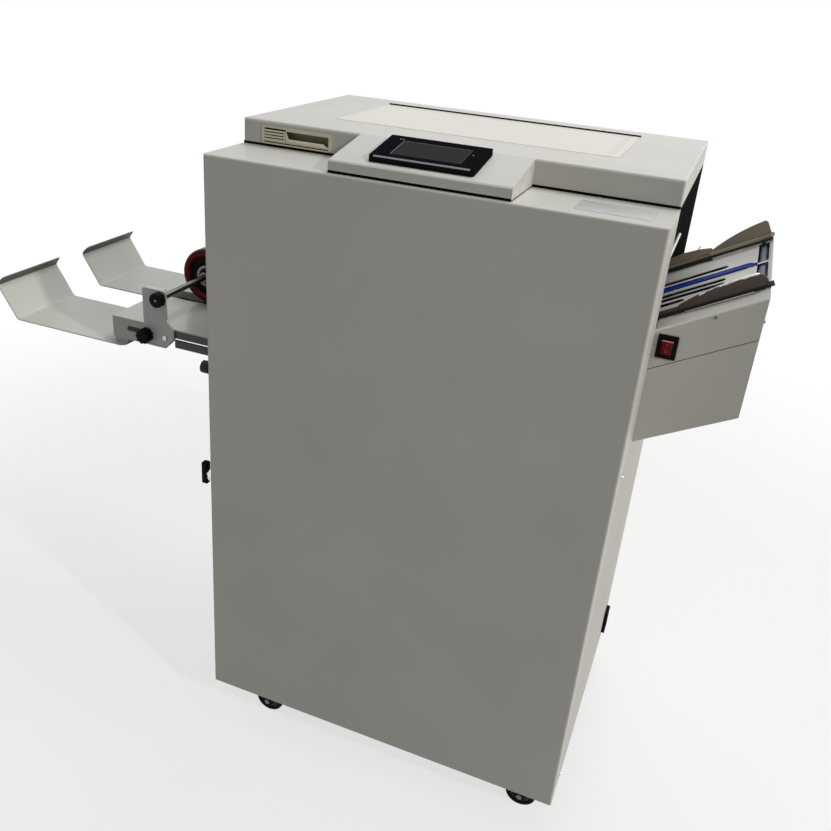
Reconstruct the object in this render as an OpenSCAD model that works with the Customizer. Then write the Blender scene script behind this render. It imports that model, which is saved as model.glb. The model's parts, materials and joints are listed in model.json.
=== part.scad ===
// Floor-standing booklet maker: paper is fed down an inclined table at the right, stitched with wire,
// folded by a knife between two rollers and delivered on belts into two trays at the left.
// Origin on the floor below the middle of the cabinet, +X to the feed side, +Y to the back, +Z up.

/* [Cabinet] */
// Width of the cabinet
cab_w = 600; // [570:5:640]
// Depth of the cabinet
cab_d = 445; // [435:1:470]
// Height of the hood's top above the floor
cab_h = 1008; // [985:1:1040]
// Height of the panels' lower edges above the floor
floor_gap = 67; // [65:0.5:72]
// Thickness of the sheet-metal panels
sheet = 2; // [1.5:0.1:2.4]
// Outer radius of the sheet bends
bend_r = 3; // [2.5:0.5:5]
// Depth of the front panel's side returns
return_w = 40; // [34:1:50]
// Depth of the ledge in front of the hood
ledge_d = 104; // [100:1:110]
// Height of the ledge's side skirts
ledge_skirt = 15; // [10:1:25]
// Joint between neighbouring panels
seam = 0.4; // [0.3:0.1:0.8]
// Thickness of the base plate
base_t = 5; // [4:0.5:8]
// Height of the base plate above the panels' lower edges
base_lift = 2; // [1:0.5:4]

/* [Hood] */
// Height of the hood
hood_h = 35; // [33:0.5:42]
// Shadow gap below the hood
hood_gap = 1.6; // [1:0.1:2.2]
// Width of the console
console_w = 238; // [220:2:260]
// Centre of the console along the width
console_x = -2; // [-10:1:10]
// Height of the console's front face
console_front_h = 16; // [14:0.5:20]
// Distance from the front panel's face back to the console's front
console_set = 6; // [4:0.5:10]
// Width of the inset plate on the hood
inset_w = 406; // [380:2:420]
// Depth of the inset plate
inset_d = 200; // [180:2:215]
// Thickness of the inset plate
inset_t = 1.3; // [1.1:0.1:1.6]
// Depth of the recess that takes the inset plate
inset_sink = 0.9; // [0.6:0.1:1]
// Distance from the hood's rear edge to the inset plate
inset_back = 55; // [50:1:65]
// Centre of the inset plate along the width
inset_x = 3.5; // [-5:0.5:10]

/* [Touch screen] */
// Width of the screen's bezel
screen_w = 137; // [130:1:150]
// Depth of the screen's bezel
screen_d = 80; // [74:1:84]
// Thickness of the bezel
screen_t = 8; // [6:0.5:10]
// Centre of the screen along the width
screen_x = -4; // [-15:0.5:5]
// Distance up the console from its front edge to the bezel
screen_set = 13; // [10:0.5:15]
// Width of the display
display_w = 94; // [88:1:100]
// Depth of the display
display_d = 52; // [48:1:56]
// Depth of the display below the bezel's face
display_sink = 1.2; // [0.8:0.1:2]

/* [Hood latch] */
// Width of the latch frame
latch_w = 108; // [100:1:116]
// Height of the latch frame
latch_h = 24; // [22:0.5:26]
// Distance from the hood's left end to the middle of the latch
latch_in = 83; // [75:1:95]
// Height of the latch frame's lower edge above the ledge
latch_z = 4; // [3:0.5:6]
// Width of the thumb button
button_w = 30; // [26:1:34]
// Travel of the thumb button
button_travel = 4; // [3:0.5:5]
// Depth of the finger recess
recess_d = 13; // [11:0.5:16]

/* [Feed table] */
// Slope of the feed table
feed_angle = 29; // [26:0.5:31]
// Reach of the feed table past the cabinet
feed_reach = 122.5; // [118:0.5:130]
// Drop from the ledge to the table at the cabinet's side
deck_drop = 155; // [148:1:162]
// Height of the upper cover
upper_h = 54; // [50:1:60]
// Height of both covers together
cover_h = 162; // [150:1:175]
// Width of the upper cover's front flange
flange_w = 46; // [44:0.5:48]
// Width of the upper cover's rear flange
rear_flange = 30; // [28:1:34]
// Thickness of the deck sheet
deck_t = 1.5; // [1.2:0.1:2]
// Length of the deck inside the cabinet
deck_in = 140; // [132:1:150]
// Width of the feed belt
belt_w = 16; // [13:0.5:18]
// Thickness of the feed belt
belt_t = 2; // [1.5:0.1:2.4]
// Radius of the feed belt's pulleys
pulley_r = 8; // [7:0.5:8.5]
// Place of the end pulley along the slope
end_pulley_s = 108; // [104:0.5:108.5]
// Place of the drive pulley along the slope, inside the cabinet
drive_pulley_s = -100; // [-106:1:-92]

/* [Paper guides] */
// Travel of each guide towards the middle
guide_travel = 30; // [20:1:30]
// Height of the near guide's fin
near_fin_h = 23; // [20:0.5:26]
// Height of the far guide's fin
far_fin_h = 30; // [26:0.5:34]
// Height of the guides' low parts
guide_low = 9; // [7:0.5:11]
// Outward lean of the fins
fin_lean = 10; // [6:1:14]
// Thickness of the guides' sheet
guide_t = 2; // [1.5:0.1:2.4]
// Gear module of the guide racks
rack_m = 1.5; // [1.4:0.05:1.55]
// Teeth of the guide pinion
pinion_n = 14; // [14:2:14]

/* [Fold and stitch] */
// Place of the fold knife along the slope
knife_s = -400; // [-410:1:-390]
// Radius of the fold rollers
fold_r = 20; // [18:0.5:22]
// Gap between the fold rollers
fold_gap = 0.6; // [0.4:0.1:1]
// Height of the fold rollers' axes above the deck
fold_lift = 28; // [26:0.5:32]
// Teeth of the fold gears
fold_n = 28; // [28:4:28]
// Stroke of the fold knife
knife_stroke = 22; // [18:0.5:24]
// Thickness of the knife blade
knife_t = 1.2; // [1:0.1:1.6]
// Place of the stitching heads along the slope
stitch_s = -260; // [-268:1:-252]
// Distance between the two stitching heads
stitch_gap = 120; // [104:1:130]
// Radius of the wire spools
spool_r = 42; // [34:1:46]
// Thickness of the mechanism plates
plate_t = 5; // [4:0.5:6]

/* [Delivery] */
// Height of the delivery table above the panels' lower edges
deliv_h = 594; // [585:1:600]
// Reach of the delivery table past the cabinet
deliv_reach = 251; // [244:1:260]
// Height of the delivery table's skirts
skirt_h = 37; // [35:0.5:42]
// Width of each delivery belt
deliv_belt_w = 32; // [28:1:34]
// Distance between the middles of the delivery belts
deliv_pitch = 56; // [52:1:60]
// Radius of the delivery rollers
deliv_r = 14; // [12:0.5:14.5]
// Height of the cross rod above the delivery table
rod_h = 49; // [46:0.5:52]
// Distance from the cabinet to the cross rod
rod_out = 153; // [148:1:158]
// Width of the press wheels
wheel_w = 28; // [24:1:30]
// Radius of the cross rod
rod_r = 5; // [4:0.5:6]
// Width of each tray
tray_w = 142; // [130:1:148]
// Length of each tray's floor
tray_len = 221; // [212:1:230]
// Gap between the trays
tray_gap = 73; // [66:1:80]
// Height of the tray's end wall
tray_wall = 57; // [50:1:64]

/* [Casters] */
// Diameter of the caster wheels
caster_d = 50; // [46:1:52]
// Width of the caster wheels
caster_w = 20; // [16:1:24]
// Offset of the wheel from its swivel axis
caster_trail = 17; // [14:0.5:20]
// Distance of the swivel axes from the cabinet's sides
caster_in_x = 70; // [60:1:80]
// Distance of the swivel axes from the cabinet's front and back
caster_in_y = 48; // [44:1:56]

/* [Hidden] */
$fn = 48;

// Overshoot of cutting bodies
over = 1;
// Radial running clearance of shafts in bores
run = 0.05;
// Gap between neighbours that move past each other
gap = 0.3;
// Gap between a belt and its pulley
belt_gap = 0.15;

// Cabinet planes
side_x = cab_w / 2;
front_y = -cab_d / 2;
back_y = cab_d / 2;
low_z = floor_gap;
panel_h = cab_h - hood_h - floor_gap;
ledge_z = low_z + panel_h;
hood_z = ledge_z + hood_gap;
top_z = cab_h;
hood_y = front_y + ledge_d;
latch_x = latch_in - side_x;
base_z = low_z + base_lift;
floor_z = base_z + base_t;

// Mechanism plates and the paper path between them
plate_set = 1.5;
rear_bay = 12.5;
plate_foot = 15;
plate_room = 13;
plate_cut = 60;
plate_top = ledge_z - plate_room;
plate_x = side_x - plate_foot;
plate_y0 = hood_y + plate_set;
path_y0 = plate_y0 + plate_t;
path_y1 = back_y - rear_bay - plate_t;
rear_plate_y = path_y1 + plate_t;
mid_y = (hood_y + back_y - plate_t) / 2 + plate_set;

// Feed table
deck_z = ledge_z - deck_drop;
feed_end_x = side_x + feed_reach;
feed_rise = feed_reach * tan(feed_angle);
feed_y1 = back_y - plate_t;
slope_len = feed_reach / cos(feed_angle);
deck_seat = 0.05;
deck_top = -sheet - deck_seat;
deck_low = deck_top - deck_t;
deck_lap = 10;
deck_y0 = hood_y + flange_w - deck_lap;
deck_y1 = feed_y1 - rear_flange + deck_lap;
rim_w = 3;
mouth_drop = 40;
belt_side = 23;
belt_y = mid_y + belt_side;
belt_proud = 3;
pulley_z = deck_top + belt_proud - belt_t - belt_gap - pulley_r;
lug_t = 2.5;
lug_half = 6;
lug_gap = 1;
pin_r = 3;
slot_w = 14;
slot_start = -30;
slot_end = 78;
short_slot_end = 25;
slot_offsets = [59, -9, -30];
short_slot_offset = -54;

// Paper guides and their drive
guide_in = [1, 5];
near_y = hood_y + flange_w + guide_in[0];
far_y = feed_y1 - rear_flange - guide_in[1];
fin_start = 28;
far_fin_start = 46;
fin_end = 140;
cross_s0 = 119;
cross_s1 = 134;
bridge_w = 8;
pitch_r = rack_m * pinion_n / 2;
pinion_side = -46;
pinion_y = mid_y + pinion_side;
tooth_top = 0.8;
tooth_root = 1.1;
root_flare = 0.9;
tooth_flank = 20;
addendum = tooth_top * rack_m;
dedendum = tooth_root * rack_m;
backlash = 0.35;
rack_back = 5;
rack_h = 6;
rack_drop = 1.5;
rack_top = deck_low - rack_drop;
pitch_in = 3;
far_pitch_s = cross_s0 + pitch_in;
pinion_s = far_pitch_s - pitch_r;
near_pitch_s = pinion_s - pitch_r;
rack_reach = 10;
arm_w = 11;
riser_w = 5;

// Fold unit along the slope
fold_pitch = 2 * fold_r + fold_gap;
fold_m = fold_pitch / fold_n;
fold_upper_s = knife_s + fold_pitch / 2;
fold_lower_s = knife_s - fold_pitch / 2;
inner_s0 = -560;
deck_joint = 2;
inner_s1 = -deck_in - deck_joint;
inner_in = [46, 29];
inner_y0 = path_y0 + inner_in[0];
inner_y1 = path_y1 - inner_in[1];
shaft_r = 8;
small_shaft_r = 6;
feed_shaft_r = 5;
gear_w = 12;
gear_gap = 2;
gear_y = plate_y0 - gear_gap - gear_w;
knife_short = 12;
knife_top = fold_lift - knife_short - knife_stroke;
knife_h = 50;
knife_bar_h = 18;
knife_bar_w = 16;

// Delivery
deliv_z = low_z + deliv_h;
deliv_x0 = -side_x - deliv_reach;
skirt_z = deliv_z - skirt_h;
deliv_belt_t = 2;
deliv_proud = 1.5;
deliv_axis_z = deliv_z + deliv_proud - deliv_belt_t - belt_gap - deliv_r;
end_roller_in = 47;
deliv_end_x = deliv_x0 + end_roller_in;
drive_room = 25;
deliv_drive_x = slope_x(fold_lower_s, fold_lift) - fold_r - deliv_r - drive_room;
rod_x = -side_x - rod_out;
rod_z = deliv_z + rod_h;
wheel_r = rod_h - deliv_proud - gap;
bracket_t = 3.5;
slot_drop = 17;
slot_span = [28, 115];
skirt_len = 121;
skirt_cut = 18;
slot_z = deliv_z - slot_drop;
slot_x0 = deliv_x0 + slot_span[0];
slot_x1 = deliv_x0 + slot_span[1];
skirt_end = deliv_x0 + skirt_len;
clamp_back = 27;
clamp_x = rod_x - clamp_back;
pin_ahead = 7;
guide_pin_x = rod_x + pin_ahead;
slot_h = 9;
tray_t = 2;
tray_bar_h = 9;
tray_bar_w = 24;
tray_lip = [10, 14];
tray_lean = 37;

// Casters
swivel_x = side_x - caster_in_x;
swivel_y = cab_d / 2 - caster_in_y;
stem_r = 6;
crown_r = 19;
crown_h = 6;
crown_gap = 1.5;
caster_plate_t = 3;
crown_z = base_z - caster_plate_t - crown_gap - crown_h;
cheek_t = 3;
cheek_gap = 1;
cheek_r = 10;
axle_r = 4;
axle_proud = 2;

// A box between two corners
module span(a, b) {
  translate(a)
    cube(b - a);
}

// A profile of [y, z] drawn out along X
module along_x(x0, x1) {
  translate([x0, 0, 0])
    rotate([90, 0, 90])
      linear_extrude(x1 - x0)
        children();
}

// A profile of [x, z] drawn out along Y
module along_y(y0, y1) {
  translate([0, y1, 0])
    rotate([90, 0, 0])
      linear_extrude(y1 - y0)
        children();
}

// A round bar along Y
module bar_y(r, y0, y1) {
  translate([0, y0, 0])
    rotate([-90, 0, 0])
      cylinder(r = r, h = y1 - y0);
}

// A round bar along X
module bar_x(r, x0, x1) {
  translate([x0, 0, 0])
    rotate([0, 90, 0])
      cylinder(r = r, h = x1 - x0);
}

// A rectangle from corner a to corner b with all four corners round
module round_rect(a, b, r) {
  translate([a[0] + r, a[1]])
    square([b[0] - a[0] - 2 * r, b[1] - a[1]]);
  translate([a[0], a[1] + r])
    square([b[0] - a[0], b[1] - a[1] - 2 * r]);
  for (x = [a[0] + r, b[0] - r], y = [a[1] + r, b[1] - r])
    translate([x, y])
      circle(r);
}

// A rectangle whose low-x, high-y corner is round
module bend_rect(a, b, r) {
  translate([a[0] + r, a[1]])
    square([b[0] - a[0] - r, b[1] - a[1]]);
  translate([a[0], a[1]])
    square([b[0] - a[0], b[1] - a[1] - r]);
  translate([a[0] + r, b[1] - r])
    circle(r);
}

// A straight slot with round ends from a to b along the first axis
module slot_2d(a, b, y, w) {
  translate([a + w / 2, y - w / 2])
    square([b - a - w, w]);
  for (x = [a + w / 2, b - w / 2])
    translate([x, y])
      circle(w / 2);
}

function unit(v) = v / norm(v);
function left_of(v) = [-v[1], v[0]];
function ahead(p, i) = unit(p[min(i + 1, len(p) - 1)] - p[min(i, len(p) - 2)]);
function behind(p, i) = unit(p[max(i, 1)] - p[max(i - 1, 0)]);
function mitre(p, i) = unit(left_of(behind(p, i)) + left_of(ahead(p, i)));
function offset_point(p, i, t) = p[i] + mitre(p, i) * t / (mitre(p, i) * left_of(behind(p, i)));

// A sheet of thickness t bent along the path p, to the left of its direction
module bent_sheet(p, t) {
  n = len(p);
  polygon(concat(p, [for (i = [n - 1:-1:0]) offset_point(p, i, t)]));
}

// The frame of the feed slope: x up the slope, z square to it, origin where the deck leaves the side
module on_slope() {
  translate([side_x, 0, deck_z])
    rotate([0, -feed_angle, 0])
      children();
}

function slope_x(s, h) = side_x + s * cos(feed_angle) - h * sin(feed_angle);
function slope_z(s, h) = deck_z + s * sin(feed_angle) + h * cos(feed_angle);

// Outline of a spur gear with straight-sided teeth, one tooth on the +X axis
module gear_2d(n, m) {
  r = n * m / 2;
  half = 90 / n;
  slack = backlash / 2 / r * 180 / PI;
  tip = half - slack - addendum_angle(m, r);
  foot = half - slack + addendum_angle(m, r) * root_flare;
  ra = r + tooth_top * m;
  rf = r - tooth_root * m;
  points = [for (k = [0:n - 1], e = [[rf, -foot], [ra, -tip], [ra, tip], [rf, foot]])
    e[0] * [cos(k * 360 / n + e[1]), sin(k * 360 / n + e[1])]];
  polygon(points);
}
function addendum_angle(m, r) = tooth_top * m * tan(tooth_flank) / r * 180 / PI;

// Teeth of a rack along Y between two limits, a gap at centre, tips towards the side dir
module rack_teeth(y0, y1, centre, dir) {
  pitch = PI * rack_m;
  first = ceil((y0 - centre) / pitch + 0.5) - 0.5;
  last = floor((y1 - centre) / pitch + 0.5) - 0.5;
  half = pitch / 4 - backlash / 2;
  lean = tan(tooth_flank);
  for (k = [first:1:last])
    translate([0, centre + k * pitch])
      polygon([[-dir * dedendum, -half - dedendum * lean], [dir * addendum, -half + addendum * lean],
        [dir * addendum, half - addendum * lean], [-dir * dedendum, half + dedendum * lean]]);
}

// The front bay cover's outer block, drawn in by the sheet on all closed sides
module front_block(inset, low) {
  r = bend_r - inset;
  w = cab_w - 2 * inset;
  y0 = front_y + inset;
  intersection() {
    translate([0, 0, low])
      linear_extrude(ledge_z - low) {
        translate([-w / 2 + r, y0])
          square([w - 2 * r, ledge_d + over]);
        translate([-w / 2, y0 + r])
          square([w, ledge_d - r + over]);
        for (x = [-w / 2 + r, w / 2 - r])
          translate([x, y0 + r])
            circle(r);
      }
    along_x(-side_x, side_x)
      bend_rect([y0, low - over], [hood_y, ledge_z - inset], r);
  }
}

cable_hole_r = 12;

module base_plate() {
  color("dimgray")
    difference() {
      translate([0, 0, base_z])
        linear_extrude(base_t)
          round_rect([-side_x + sheet, front_y + sheet], [side_x - sheet, back_y - sheet], bend_r);
      for (x = [-1, 1])
        translate([x * cab_w / 4, 0, base_z - over])
          cylinder(r = cable_hole_r, h = base_t + 2 * over);
    }
}

side_fix_y = front_y + return_w / 2;
knob_up = 588;
side_latch_up = 405;
knob_z = low_z + knob_up;
side_latch_z = low_z + side_latch_up;
fix_r = 4;
fix_past = 4;

module front_panel() {
  color([0.80, 0.80, 0.77])
    difference() {
      front_block(0, low_z);
      front_block(sheet, low_z - over);
      span([-side_x - over, front_y + return_w, low_z - over],
        [side_x + over, hood_y + over, ledge_z - ledge_skirt]);
      for (z = [knob_z, side_latch_z])
        translate([0, side_fix_y, z])
          bar_x(fix_r + run, -side_x - over, -side_x + sheet + over);
    }
}

panel_y0 = front_y + return_w + seam;
panel_y1 = back_y - sheet;

// Side panel outline of [y, z], stepped under the ledge's skirt
module side_outline() {
  polygon([[panel_y0, low_z], [panel_y1, low_z], [panel_y1, ledge_z], [hood_y + seam, ledge_z],
    [hood_y + seam, ledge_z - ledge_skirt - seam], [panel_y0, ledge_z - ledge_skirt - seam]]);
}

exit_in = [4, 5];
exit_room = [4, 60];
exit_r = 6;
exit_y0 = path_y0 + exit_in[0];
exit_y1 = path_y1 - exit_in[1];
exit_z0 = skirt_z - exit_room[0];
exit_z1 = deliv_z + exit_room[1];

module left_side_panel() {
  color([0.80, 0.80, 0.77])
    along_x(-side_x, -side_x + sheet)
      difference() {
        side_outline();
        round_rect([exit_y0, exit_z0], [exit_y1, exit_z1], exit_r);
      }
}

inlet_w = 28;
inlet_h = 48;
inlet_in = 32;
inlet_up = 52;
inlet_y = back_y - inlet_in;
inlet_z = low_z + inlet_up;
inlet_body = 4;

module right_side_panel() {
  color([0.80, 0.80, 0.77])
    along_x(side_x - sheet, side_x)
      difference() {
        side_outline();
        translate([hood_y + sheet + seam, deck_z - mouth_drop])
          square([cab_d, panel_h]);
        translate([inlet_y - inlet_w / 2 + inlet_body, inlet_z - inlet_h / 2 + inlet_body])
          square([inlet_w - 2 * inlet_body, inlet_h - 2 * inlet_body]);
      }
}

vent_w = 70;
vent_h = 6;
vent_step = 16;
vent_rows = 9;
vent_up = 90;

module rear_panel() {
  color([0.80, 0.80, 0.77])
    difference() {
      span([-side_x, back_y - sheet, low_z], [side_x, back_y, ledge_z]);
      for (x = [-1, 1], k = [0:vent_rows - 1])
        along_y(back_y - sheet - over, back_y + over)
          slot_2d(x * cab_w / 4 - vent_w / 2, x * cab_w / 4 + vent_w / 2,
            low_z + vent_up + k * vent_step, vent_h);
    }
}

// Bores of the shafts that run across both mechanism plates: [x, z, radius]
fold_low_at = [slope_x(fold_lower_s, fold_lift), slope_z(fold_lower_s, fold_lift)];
fold_high_at = [slope_x(fold_upper_s, fold_lift), slope_z(fold_upper_s, fold_lift)];
feed_drive_at = [slope_x(drive_pulley_s, pulley_z), slope_z(drive_pulley_s, pulley_z)];
spool_x = -60;
spool_lift = 62;
spool_at = [spool_x, deck_z + spool_lift];
shafts = [[feed_drive_at, feed_shaft_r], [fold_low_at, shaft_r], [fold_high_at, shaft_r],
  [[deliv_drive_x, deliv_axis_z], shaft_r], [spool_at, small_shaft_r]];

module inner_plate(y0) {
  difference() {
    along_y(y0, y0 + plate_t)
      polygon([[-plate_x, floor_z], [plate_x, floor_z], [plate_x, plate_top - plate_cut],
        [plate_x - plate_cut, plate_top], [-plate_x + plate_cut, plate_top],
        [-plate_x, plate_top - plate_cut]]);
    for (s = shafts)
      translate([s[0][0], 0, s[0][1]])
        bar_y(s[1] + run, y0 - over, y0 + plate_t + over);
  }
}

module front_inner_plate() {
  color("silver")
    inner_plate(plate_y0);
}

module rear_inner_plate() {
  color("silver")
    inner_plate(path_y1);
}

tie_r = 8;
tie_low = [30, 30];
tie_high = [90, 20];
deck_tie_in = [40, 30];
deck_ties = [inner_s0 + deck_tie_in[0], inner_s1 - deck_tie_in[1]];
support_clear = 0.2;
beam_s = [-300, -280];
beam_h = [60, 90];

// Cross bars between the mechanism plates: corners, inner deck supports and the stitch beam
module tie_bars() {
  support_h = deck_low - tie_r - support_clear;
  corners = [[plate_x - tie_low[0], floor_z + tie_low[1]], [plate_x - tie_high[0], plate_top - tie_high[1]]];
  color("gainsboro") {
    for (x = [-1, 1], at = corners)
      translate([x * at[0], 0, at[1]])
        bar_y(tie_r, path_y0, path_y1);
    for (s = deck_ties)
      translate([slope_x(s, support_h), 0, slope_z(s, support_h)])
        bar_y(tie_r, path_y0, path_y1);
    on_slope()
      span([beam_s[0], path_y0, beam_h[0]], [beam_s[1], path_y1, beam_h[1]]);
  }
}

screw_r = 4;
screw_h = 1.8;
screw_in = 14;

// A domed screw head of radius r standing on the plane z = 0
module screw_head(r) {
  intersection() {
    cylinder(r = r, h = screw_h);
    translate([0, 0, screw_h - 2 * r])
      sphere(2 * r);
  }
}

exit_screw_drop = 34;
side_screw_up = [screw_in, deliv_h - exit_screw_drop];
rear_screw_in = [40, 70];
rear_screw_up = [rear_screw_in[0], panel_h / 2, panel_h - rear_screw_in[1]];
small_screw_r = 2;
cover_screw = [74, -5.5];
end_screw_drop = 21;
end_screw_in = 40;

module panel_screws() {
  color("silver") {
    for (x = [-1, 1], y = [panel_y0 + screw_in, panel_y1 - screw_in], z = side_screw_up)
      translate([x * side_x, y, low_z + z])
        rotate([0, x * 90, 0])
          screw_head(screw_r);
    for (x = [-1, 1], z = rear_screw_up)
      translate([x * (side_x - screw_in), back_y, low_z + z])
        rotate([-90, 0, 0])
          screw_head(screw_r);
    on_slope()
      translate([cover_screw[0], hood_y, cover_screw[1]])
        rotate([90, 0, 0])
          screw_head(small_screw_r);
    for (y = [hood_y + end_screw_in, feed_y1 - end_screw_in])
      translate([feed_end_x, y, deck_z + feed_rise - end_screw_drop])
        rotate([0, 90, 0])
          screw_head(screw_r);
  }
}

caster_plate_w = 46;
stem_head_r = 9;
stem_head_h = 2.5;

// The four swivel axes, each child placed at its own
module at_casters(which) {
  for (k = which)
    translate([(k % 2 == 0 ? -1 : 1) * swivel_x, (k < 2 ? -1 : 1) * swivel_y, 0])
      children();
}

module caster_plates() {
  color("silver")
    at_casters([0:3]) {
      translate([-caster_plate_w / 2, -caster_plate_w / 2, base_z - caster_plate_t])
        cube([caster_plate_w, caster_plate_w, caster_plate_t]);
      translate([0, 0, crown_z - gap])
        cylinder(r = stem_r, h = base_z - caster_plate_t - crown_z + gap);
      translate([0, 0, crown_z - gap - stem_head_h])
        cylinder(r = stem_head_r, h = stem_head_h);
    }
}

cheek_top = 13;

module caster_fork(k) {
  cheek_y = caster_w / 2 + cheek_gap + cheek_t / 2;
  color([0.1, 0.1, 0.1])
    at_casters([k]) {
      difference() {
        translate([0, 0, crown_z])
          cylinder(r = crown_r, h = crown_h);
        translate([0, 0, crown_z - over])
          cylinder(r = stem_r + run, h = crown_h + 2 * over);
      }
      for (side = [-1, 1])
        along_y(side * cheek_y - cheek_t / 2, side * cheek_y + cheek_t / 2) {
          polygon([[-cheek_top, crown_z], [caster_trail - cheek_r, caster_d / 2],
            [caster_trail + cheek_r, caster_d / 2], [cheek_top, crown_z]]);
          translate([caster_trail, caster_d / 2])
            circle(cheek_r);
        }
      translate([caster_trail, 0, caster_d / 2])
        bar_y(axle_r, -cheek_y - cheek_t / 2 - axle_proud, cheek_y + cheek_t / 2 + axle_proud);
    }
}

tread_r = 4;
web_r = [11, 18];
web_sink = 2;

module caster_wheel(k) {
  r = caster_d / 2;
  w = caster_w / 2;
  bore = axle_r + run;
  color([0.06, 0.06, 0.06])
    at_casters([k])
      translate([caster_trail, 0, r])
        rotate([90, 0, 0])
          rotate_extrude()
            difference() {
              union() {
                translate([bore, -w])
                  square([r - tread_r - bore, 2 * w]);
                round_rect([web_r[0], -w], [r, w], tread_r);
              }
              for (side = [-1, 1])
                translate([web_r[0], side * w - web_sink])
                  square([web_r[1] - web_r[0], 2 * web_sink]);
            }
}

hinge_x = [-200, 200];
hinge_len = 60;
knuckle_r = 4;
hinge_pin_r = 2;
leaf_t = 2;
leaf_h = 28;
lid_leaf_h = 20;
leaf_drop = 5;
lid_leaf_lift = 6;
tongue_lap = 1;
hinge_out = 0.5;
hinge_y = back_y + knuckle_r + hinge_out;
mid_knuckle = 24;

module hinge_fixed_leaves() {
  len = (hinge_len - mid_knuckle) / 2 - gap;
  color("gainsboro")
    for (x = hinge_x)
      translate([x, 0, 0]) {
        span([-hinge_len / 2, back_y, ledge_z - leaf_drop - leaf_h],
          [hinge_len / 2, back_y + leaf_t, ledge_z - leaf_drop]);
        for (side = [-1, 1])
          translate([side * (hinge_len / 2 - len / 2), 0, 0]) {
            translate([0, hinge_y, ledge_z])
              bar_x(knuckle_r, -len / 2, len / 2);
            span([-len / 2, back_y, ledge_z - leaf_drop - tongue_lap], [len / 2, back_y + leaf_t, ledge_z]);
          }
        translate([0, hinge_y, ledge_z])
          bar_x(hinge_pin_r, -hinge_len / 2, hinge_len / 2);
      }
}

guide_plate_up = 83;
guide_plate_edge = 4;
guide_plate_lip = [12, 2];
guide_plate_foot = [84, 8];
guide_plate_toe = [110, 2];
guide_plate_z = deck_z + guide_plate_up;
guide_plate_y1 = belt_y - belt_w / 2 - 1;

module infeed_guide_plate() {
  lip_x = side_x - guide_plate_edge;
  color("whitesmoke")
    along_y(path_y0, guide_plate_y1)
      bent_sheet([[lip_x, guide_plate_z], [lip_x - guide_plate_lip[0], guide_plate_z - guide_plate_lip[1]],
        [side_x - guide_plate_foot[0], deck_z + guide_plate_foot[1]],
        [side_x - guide_plate_toe[0], deck_z + guide_plate_toe[1]]], sheet);
}

// Vertical slice of the feed unit between two depths below the deck line
module feed_slice(top, low, inset) {
  polygon([[side_x, deck_z - top], [feed_end_x - inset, deck_z + feed_rise - top - inset * tan(feed_angle)],
    [feed_end_x - inset, deck_z + feed_rise - low - inset * tan(feed_angle)], [side_x, deck_z - low]]);
}

rocker_w = 25.5;
rocker_h = 32;
rocker_out = 5.5;
rocker_drop = 35;
rocker_x = side_x + rocker_out;
rocker_z = deck_z - rocker_drop;
rocker_wall = 2.5;
rocker_flange = 2;
sheet_drop = sheet / cos(feed_angle);
cover_gap = 1.2;

module feed_upper_cover() {
  color([0.80, 0.80, 0.77])
    difference() {
      along_y(hood_y, feed_y1)
        feed_slice(0, upper_h, 0);
      along_y(hood_y + sheet, feed_y1 - sheet)
        translate([-over, -over * tan(feed_angle)])
          feed_slice(sheet_drop, upper_h + over * 2, sheet - over);
      along_y(hood_y + flange_w, feed_y1 - rear_flange)
        translate([-over, -over * tan(feed_angle)])
          feed_slice(-over * 2, upper_h, rim_w - over);
      span([rocker_x + rocker_wall, hood_y - over, rocker_z + rocker_wall],
        [rocker_x + rocker_w - rocker_wall, hood_y + sheet + over, rocker_z + rocker_h - rocker_wall]);
    }
}

module feed_lower_cover() {
  color([0.80, 0.80, 0.77])
    difference() {
      along_y(hood_y, feed_y1)
        feed_slice(upper_h + cover_gap, cover_h, 0);
      along_y(hood_y + sheet, feed_y1 - sheet)
        translate([-over, -over * tan(feed_angle)])
          feed_slice(upper_h - over * 2, cover_h - sheet_drop, sheet - over);
    }
}

stud_r = 3;
stud_head_r = 5;
stud_head_h = 2;
rack_stop_t = 4;

module feed_deck() {
  stop_y = pinion_y + rack_reach + guide_travel + gap;
  s1 = slope_len - (sheet + gap) / cos(feed_angle) - (sheet + deck_t) * tan(feed_angle);
  color([0.86, 0.85, 0.81])
    on_slope() {
      difference() {
        span([-deck_in, deck_y0, deck_low], [s1, deck_y1, deck_top]);
        translate([0, 0, deck_low - over])
          linear_extrude(deck_t + 2 * over) {
            for (d = slot_offsets)
              slot_2d(slot_start, slot_end, mid_y + d, slot_w);
            slot_2d(slot_start, short_slot_end, mid_y + short_slot_offset, slot_w);
            translate([-deck_in - over, belt_y - belt_w / 2 - lug_gap])
              square([deck_in + cross_s0 + over, belt_w + 2 * lug_gap]);
            translate([cross_s0, near_y - guide_t])
              square([cross_s1 - cross_s0, belt_y - bridge_w / 2 - near_y + guide_t]);
            translate([cross_s0, belt_y + bridge_w / 2])
              square([cross_s1 - cross_s0, far_y + guide_t - belt_y - bridge_w / 2]);
          }
      }
      for (side = [-1, 1])
        belt_lug(side);
      span([near_pitch_s - dedendum - rack_back, stop_y, rack_top - rack_h],
        [near_pitch_s - dedendum, stop_y + rack_stop_t, deck_low + over]);
      translate([pinion_s, pinion_y, rack_top - rack_h - gap - stud_head_h]) {
        cylinder(r = stud_r, h = deck_low - rack_top + rack_h + gap + stud_head_h);
        cylinder(r = stud_head_r, h = stud_head_h);
      }
    }
}

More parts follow.
